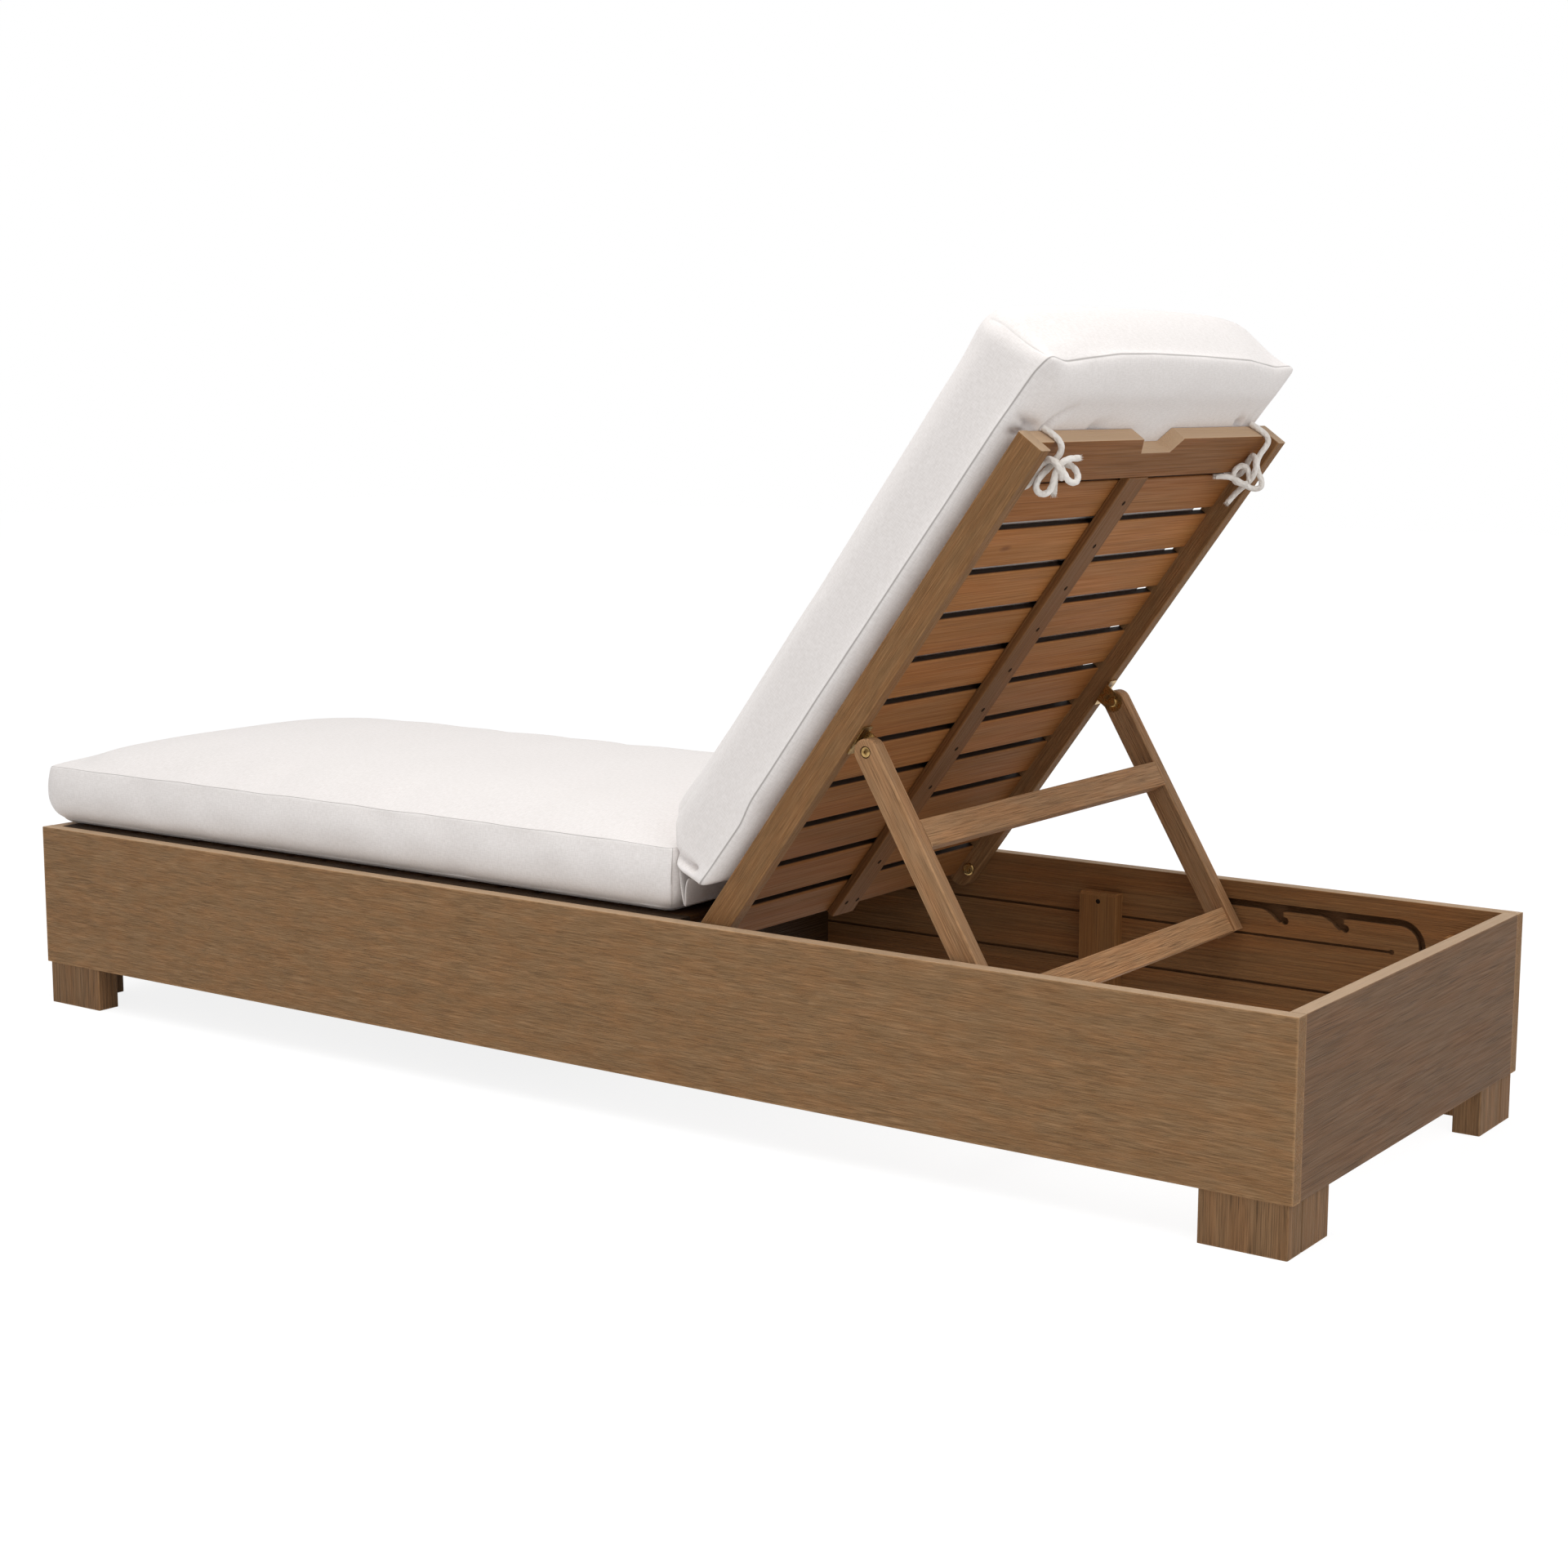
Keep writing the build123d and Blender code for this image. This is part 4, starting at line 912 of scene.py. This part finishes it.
# Back cushion
# It leans on the slats and hangs over the head rail, where its back bulges free between the ties.  Its
# foot is tucked in where it stands on the seat cushion.
back_start = 0.038
back_length = 0.819
back_half = 0.322
back_front = 0.149
back_seam = 0.094
back_floor = 0.0259
back_grid = 0.0092
back_roll = 0.036
back_corner = 0.010
back_crown = 0.007
back_turn = 0.054
back_turn_power = 1.7
back_pull = 0.004
back_stitch = 0.0014
free_from = 0.015
free_held = 0.035
free_full = 0.06
free_bulge = 0.003
end_bulge = 0.017
end_from = 0.76
end_place = 0.857
tip_from = 0.081
tip_slope = 0.6
tip_curve = 11.5
tip_reach = 0.05

# How far the seam lies off the slats along the sides, and how far up the backrest it lies across the end.
side_seam = (
    (0.038, 0.055), (0.151, 0.0527), (0.184, 0.0582), (0.352, 0.0584), (0.541, 0.056),
    (0.752, 0.0523), (0.830, 0.048), (0.857, 0.042),
)
end_seam = (
    (-0.325, 0.8556), (-0.280, 0.8468), (-0.234, 0.8523), (-0.168, 0.8593), (-0.082, 0.8612),
    (0.045, 0.8596), (0.185, 0.8554), (0.268, 0.8463), (0.327, 0.8493),
)

# The tuck at the foot: a crease in each side with a lip before it, and a corner that is pushed back.
tuck_from = np.array((0.0600, 0.1150))
tuck_to = np.array((0.0590, 0.0745))
tuck_depth = 0.006
tuck_deeper = 0.008
tuck_width = 0.0042
lip_height = 0.004
lip_place = (0.0505, 0.092)
lip_size = (0.0045, 0.020)
foot_corner = (0.048, 0.102)
foot_corner_size = (0.018, 0.020)
foot_corner_back = 0.008
foot_corner_in = 0.004
tuck_sides = (0.296, 0.310)

# Dents where the ties pull the back panel to the head rail: from and to, depth and width.
dents = (
    (0.768, -0.262, 0.792, -0.228, 0.014, 0.006), (0.766, -0.290, 0.776, -0.314, 0.013, 0.006),
    (0.752, -0.298, 0.756, -0.318, 0.010, 0.006),
    (0.766, 0.238, 0.776, 0.226, 0.009, 0.008), (0.768, 0.262, 0.800, 0.280, 0.004, 0.008),
    (0.764, -0.150, 0.772, -0.110, 0.004, 0.010),
)
dent_depth_from = 0.046
dent_depth_full = 0.034
dent_fade = 0.75
lean_turn = np.array(lean.to_3x3())
hinge_at = np.array(hinge_place)


def beside_line(places, start, stop):
    """How far along a line each place lies, as a share of it, and how far beside it, one row each."""
    run = stop - start
    along = np.clip((places - start) @ run / (run @ run), 0, 1)
    return along, np.linalg.norm(places - start - along[:, None] * run, axis=1, keepdims=True)


def hump(places, middle, size):
    """A smooth hump, one high in its middle, for places that are one row each."""
    return np.exp(-np.sum(((places - np.array(middle)) / size) ** 2, axis=1))


blank = Blank(back_length, back_half, back_seam, back_grid)
co = blank.rolled(back_roll, back_corner, full_far_end=True)
a = blank.points[:, 0] + back_start
y_share = blank.points[:, 1] / back_half
x_share = blank.points[:, 0] / back_length
n_share = blank.points[:, 2] / back_seam
inside = blank.edge_distance()
roll_in = np.clip(inside / back_turn, 0, 1)
hang = smooth_step(a, rail_end + free_from, rail_end + free_full)
seam_to_slats = back_front - back_seam - back_floor
turned_in = (1 - (1 - roll_in) ** back_turn_power) ** (1 / back_turn_power)
bulge = turned_in * (seam_to_slats + free_bulge * hang * (1 - y_share**2))
co[:, 2] += np.where(blank.is_top, bulge, 0)
crown = back_crown * (1 - np.abs(2 * x_share - 1) ** 8) * (1 - y_share**4)
co[:, 2] -= np.where(blank.is_base, crown, 0)
at_seam = n_share * (1 - roll_in * blank.is_top)
seam_off = np.interp(a, *zip(*side_seam))
co[:, 2] += (back_front - back_seam - seam_off) * at_seam
off = back_front - co[:, 2]
tip = np.where(off > tip_from, tip_slope * (off - tip_from), tip_curve * (off - tip_from) ** 2)
co[:, 0] += tip * np.exp(-np.maximum(blank.points[:, 0], 0) / tip_reach)
end_share = smooth_step(a, end_from, end_place)
seam_a = np.interp(blank.points[:, 1], *zip(*end_seam))
co[:, 0] += (seam_a - end_place) * end_share * at_seam
co[:, 0] += end_bulge * end_share * np.cos(0.5 * math.pi * n_share**2) * (1 - y_share**6)
co[:, 1] -= np.sign(y_share) * np.abs(y_share) ** 3 * back_pull * np.sin(math.pi * x_share)
co = sew(co, blank, back_stitch)
leaning = np.stack([co[:, 0] + back_start, co[:, 1], back_front - co[:, 2]], 1)
back = blank.cover("back_cushion_cover", leaning @ lean_turn.T + hinge_at)
resting = blank.is_top & (inside > back_turn) & (a < rail_end + free_held)
filled(back, blank.is_seam | resting)
divided(back)

leaning = (vertex_places(back.data) - hinge_at) @ lean_turn
at_side = smooth_step(np.abs(leaning[:, 1]), *tuck_sides)
side_view = leaning[:, (0, 2)]
along, beside = beside_line(side_view, tuck_from, tuck_to)
crease = (tuck_depth + tuck_deeper * along**2) * hump(beside, 0.0, tuck_width)
lip = lip_height * hump(side_view, lip_place, lip_size)
corner = hump(side_view, foot_corner, foot_corner_size)
leaning[:, 1] -= np.sign(leaning[:, 1]) * (crease - lip) * at_side
leaning[:, 0] -= foot_corner_back * corner * at_side
leaning[:, 2] += foot_corner_in * corner * at_side
at_back = smooth_step(-leaning[:, 2], -dent_depth_from, -dent_depth_full)
for a_from, y_from, a_to, y_to, depth, width in dents:
    along, beside = beside_line(leaning[:, :2], np.array((a_from, y_from)), np.array((a_to, y_to)))
    leaning[:, 2] += depth * (1 - dent_fade * along) * hump(beside, 0.0, width) * at_back
co = leaning @ lean_turn.T + hinge_at
back.data.vertices.foreach_set("co", co.ravel())
back.data.update()
back.data.materials.append(linen)
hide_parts("back_cushion")
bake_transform(back)

# Cloth hinge
# A strip of the cover cloth is sewn to the end of the seat cushion and to the tip of the back cushion,
# and hangs between them in a fold.
hinge_half = 0.309
hinge_points = (
    (0.1668, 0.333), (0.1676, 0.318), (0.1686, 0.301), (0.1692, 0.286), (0.1710, 0.2795),
    (0.1730, 0.2850), (0.1738, 0.296), (0.1752, 0.309), (0.1795, 0.3175),
)
hinge_cloth = 0.0022
hinge_columns = 90
hinge_row = 0.011
hinge_top = 0.335
sway_height = 0.04
sway_lift = 0.5
waves = ((0.0006, 0.61), (0.0004, 1.37))
edge_from = 0.93
edge_sway = 0.0040
edge_crumple = 0.0022
crumple_turn = 2.3

hinge_co = []
for column in range(hinge_columns + 1):
    y = -hinge_half + 2 * hinge_half * column / hinge_columns
    edge = max(0.0, abs(y) / hinge_half - edge_from) / (1 - edge_from)
    sway = sum(height * math.sin(column * rate) for height, rate in waves) + edge_sway * edge**2
    for row, (x, z) in enumerate(hinge_points):
        crumple = math.copysign(edge_crumple * edge * math.sin(crumple_turn * row), y)
        hinge_co.append((x + sway * (hinge_top - z) / sway_height, y + crumple, z + sway_lift * sway))
rows = len(hinge_points)
hinge_faces = []
hinge_uvs = []
for column in range(hinge_columns):
    for row in range(rows - 1):
        first = column * rows + row
        hinge_faces.append((first, first + rows, first + rows + 1, first + 1))
        for i, j in ((0, 0), (1, 0), (1, 1), (0, 1)):
            hinge_uvs.append(((column + i) * 2 * hinge_half / hinge_columns, (row + j) * hinge_row))
hinge_mesh = bpy.data.meshes.new("cushion_hinge_cloth")
hinge_mesh.from_pydata(hinge_co, [], hinge_faces)
hinge_mesh.uv_layers.new(name="cloth").data.foreach_set("uv", np.array(hinge_uvs).reshape(-1))
hinge = show("cushion_hinge_cloth", hinge_mesh)
wall = hinge.modifiers.new("cloth", "SOLIDIFY")
wall.thickness = hinge_cloth
wall.offset = 0.0
divided(hinge)
hinge.data.materials.append(linen)
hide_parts("cushion_hinge")
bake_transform(hinge)

# The ties
# Two soft braided cotton cords on each side hold the back cushion to the head rail.  One comes over
# the rail's top, the other through the gap below it.  The left pair ends in a bow, the right in a knot.
cord_thick = 0.0076
braid_relief = 0.00035
braid_pitch = 0.0085
braid_strands = 4
cord_sides = 28
cord_step = 0.0009
fray_fibres = 46
fray_length = 0.0055
fray_root = 0.0008
fray_ring = 0.36
fray_spread = 0.30
fray_stray = 0.0006
fibre_thick = 0.00042
golden_angle = 2.399963
cotton_soiled = (0.70, 0.64, 0.58, 1)
cotton_clean = (0.86, 0.82, 0.77, 1)

tie_left_over = (
    (768.3, -272, 24.6), (768.7, -269.5, 17), (768.6, -267, 9), (767.2, -265.5, 0.5),
    (762.5, -265, -6), (755, -266, -8.5), (747, -267, -7.5), (738.5, -270, -8.5),
    (730, -277, -9), (721.5, -283.5, -10.5), (714, -286, -15), (711.5, -284, -23),
    (717, -279.5, -28.5), (727, -277.5, -27), (737.5, -279, -23), (748, -277.5, -20),
    (756, -271.5, -19.5), (760.5, -264, -22), (763.5, -256, -26),
)
tie_left_under = (
    (700.5, -284, 25.5), (700.5, -284.5, 14), (701.5, -283.5, 3), (709, -281.5, -4),
    (721.5, -279.5, -1), (732.5, -277, -0.5), (742.5, -275.5, -1.5), (749, -274, -9),
    (749, -273.5, -19), (744, -272, -29), (738.5, -266.5, -36.5), (740, -257.5, -41),
    (747, -253, -36), (751.5, -254, -25.5), (748.5, -257.5, -16), (739.5, -259, -12.5),
    (730.5, -259.5, -15), (722.5, -260.5, -21), (714.5, -262.5, -27.5),
)
tie_right_over = (
    (768.3, 268, 24.6), (768.7, 271, 17), (768.6, 275, 9), (767.2, 278.5, 0.5),
    (762.5, 279.5, -6), (754.5, 276.5, -8), (744, 273, -8.5), (732.5, 271.5, -12),
    (724.5, 271.5, -21), (719.5, 273.5, -31), (711, 273.5, -36.5), (704, 268, -29.5),
    (704.5, 259, -19.5), (705.5, 249.5, -10), (704.5, 239.5, -1), (697.5, 229.5, 8),
)
tie_right_under = (
    (700.5, 266, 25.5), (700.5, 265.5, 14), (701, 266, 3), (708.5, 267.5, -4.5),
    (720.5, 270, -3.5), (731, 272, -0.5), (739.5, 268.5, -3), (738.5, 261.5, -12),
    (730, 260, -20), (718, 263.5, -22), (705.5, 268, -19), (693.5, 270, -15),
    (681.5, 268, -13), (670.5, 262, -14),
)
knot_left = (
    (737.5, -267.5, -2), (745, -277, -1.5), (751, -281.5, -11.5), (748.5, -280.5, -23),
    (742, -273, -28.5), (735, -263, -24.5),
)
knot_right = (
    (711.5, 264, -20), (721.5, 262, -14), (725.5, 256, -4.5), (715.5, 250, -0.5),
    (704, 248, -5), (701.5, 252.5, -15.5), (708.5, 259, -22.5),
)


def braid_tree():
    """A round braided cord along a curve: its radius rises where two families of strands cross it."""
    tree = new_tree(
        "braided cord",
        "GeometryNodeTree",
        (("Curve", "Geometry"), ("Radius", "Float"), ("Relief", "Float"), ("Pitch", "Float"),
         ("Strands", "Float"), ("Sides", "Int"), ("Step", "Float"), ("Material", "Material")),
        (("Mesh", "Geometry"),),
    )
    given = node(tree, "NodeGroupInput").outputs
    even = node(tree, "GeometryNodeResampleCurve", {"Curve": given["Curve"], "Length": given["Step"]},
                mode="LENGTH").outputs[0]
    along = node(tree, "GeometryNodeSplineParameter").outputs["Length"]
    keep = node(tree, "GeometryNodeCaptureAttribute", {"Geometry": even})
    keep.capture_items.new("FLOAT", "Along")
    tree.links.new(along, keep.inputs["Along"])
    circle = node(tree, "GeometryNodeCurvePrimitiveCircle",
                  {"Resolution": given["Sides"], "Radius": given["Radius"]}).outputs[0]
    round_share = node(tree, "GeometryNodeSplineParameter").outputs["Factor"]
    keep_round = node(tree, "GeometryNodeCaptureAttribute", {"Geometry": circle})
    keep_round.capture_items.new("FLOAT", "Round")
    tree.links.new(round_share, keep_round.inputs["Round"])
    tube = node(tree, "GeometryNodeCurveToMesh", {
        "Curve": keep.outputs[0], "Profile Curve": keep_round.outputs[0], "Fill Caps": True,
    }).outputs[0]
    turns_along = sum_of(tree, "DIVIDE", keep.outputs["Along"], given["Pitch"])
    turns_round = sum_of(tree, "MULTIPLY", keep_round.outputs["Round"], given["Strands"])
    ridges = []
    for operation in ("ADD", "SUBTRACT"):
        turns = sum_of(tree, operation, turns_round, turns_along)
        ridges.append(sum_of(tree, "SINE", sum_of(tree, "MULTIPLY", turns, 2 * math.pi)))
    height = sum_of(tree, "MULTIPLY", sum_of(tree, "MAXIMUM", *ridges), given["Relief"])
    normal = node(tree, "GeometryNodeInputNormal").outputs[0]
    offset = node(tree, "ShaderNodeVectorMath", {0: normal, "Scale": height}, operation="SCALE").outputs[0]
    moved = node(tree, "GeometryNodeSetPosition", {"Geometry": tube, "Offset": offset}).outputs[0]
    smooth = node(tree, "GeometryNodeSetShadeSmooth", {"Geometry": moved}).outputs[0]
    real = node(tree, "GeometryNodeRealizeInstances", {"Geometry": smooth}).outputs[0]
    done = node(tree, "GeometryNodeSetMaterial",
                {"Geometry": real, "Material": given["Material"]}).outputs[0]
    node(tree, "NodeGroupOutput", {"Mesh": done})
    return tree


def add_tree(obj, tree, values):
    """Puts a Geometry Nodes tree on an object and sets its named inputs."""
    modifier = obj.modifiers.new(tree.name, "NODES")
    modifier.node_group = tree
    for item in tree.interface.items_tree:
        if item.item_type == "SOCKET" and item.in_out == "INPUT" and item.name in values:
            modifier[item.identifier] = values[item.name]


def route_curve(name, points):
    """A smooth curve along a route that is written in the leaning backrest's frame, in millimetres."""
    data = bpy.data.curves.new(name, "CURVE")
    data.dimensions = "3D"
    data.resolution_u = 10
    spline = data.splines.new("NURBS")
    spline.points.add(len(points) - 1)
    for place, point in zip(points, spline.points):
        point.co = (*(lean @ (Vector(place) / 1000)), 1.0)
    spline.order_u = 3
    spline.use_endpoint_u = True
    return show(name, data)


cotton, cotton_tree, cotton_shader = new_material("braided_cotton", 0.86, Sheen_Weight=0.25)
cotton_place = node(cotton_tree, "ShaderNodeTexCoord").outputs["Object"]
cotton_fuzz = noise(cotton_tree, cotton_place, 900.0, 3.0)
cotton_cloud = noise(cotton_tree, cotton_place, 60.0, 2.0)
cotton_soil = node(cotton_tree, "ShaderNodeValToRGB", {"Fac": cotton_cloud})
cotton_stops = ((0.3, cotton_soiled), (0.6, cotton_clean))
for element, (position, tone) in zip(cotton_soil.color_ramp.elements, cotton_stops):
    element.position = position
    element.color = tone
cotton_bump = node(cotton_tree, "ShaderNodeBump",
                   {"Height": cotton_fuzz, "Strength": 0.5, "Distance": 0.0004})
cotton_tree.links.new(cotton_soil.outputs["Color"], cotton_shader.inputs["Base Color"])
cotton_tree.links.new(cotton_bump.outputs["Normal"], cotton_shader.inputs["Normal"])


def fray(mesh, end, direction):
    """Loose fibres at a cut end of a cord, added to its mesh."""
    side = direction.orthogonal().normalized()
    other = direction.cross(side)
    work = bmesh.new()
    work.from_mesh(mesh)
    for i in range(fray_fibres):
        angle = i * golden_angle
        reach = (i + 0.5) / fray_fibres
        out = side * math.cos(angle) + other * math.sin(angle)
        root = end - direction * fray_root + out * (fray_ring * cord_thick * math.sqrt(reach))
        length = fray_length * (0.55 + 0.45 * math.sin(7.3 * i) ** 2)
        stray = side * (fray_stray * math.sin(3.1 * i))
        tip = root + direction * length + out * (fray_spread * length * reach) + stray
        ring = []
        for corner in range(3):
            turn_angle = angle + corner * 2 * math.pi / 3
            around = side * math.cos(turn_angle) + other * math.sin(turn_angle)
            ring.append(work.verts.new(root + around * fibre_thick))
        peak = work.verts.new(tip)
        for corner in range(3):
            work.faces.new((ring[corner], ring[(corner + 1) % 3], peak))
    work.to_mesh(mesh)
    work.free()


braid = braid_tree()
for tie_name, points, tie_length in (
    ("tie_left_over", tie_left_over, 0.1663),
    ("tie_left_under", tie_left_under, 0.1853),
    ("tie_right_over", tie_right_over, 0.1635),
    ("tie_right_under", tie_right_under, 0.1493),
    ("tie_knot_left", knot_left, 0.0578),
    ("tie_knot_right", knot_right, 0.0677),
):
    line = route_curve(tie_name + "_line", points)
    path = [tuple(v.co) for v in evaluated_mesh(line).vertices]
    add_tree(line, braid, {
        "Radius": cord_thick / 2 - braid_relief, "Relief": braid_relief, "Pitch": braid_pitch,
        "Strands": float(braid_strands), "Sides": cord_sides, "Step": cord_step, "Material": cotton,
    })
    tie = show(tie_name + "_cord", evaluated_mesh(line))
    if "knot" not in tie_name:
        last = Vector(path[-1])
        fray(tie.data, last, (last - Vector(path[-2])).normalized())
    bpy.data.objects.remove(line)
    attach(tie, "backrest")
    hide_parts(tie_name)
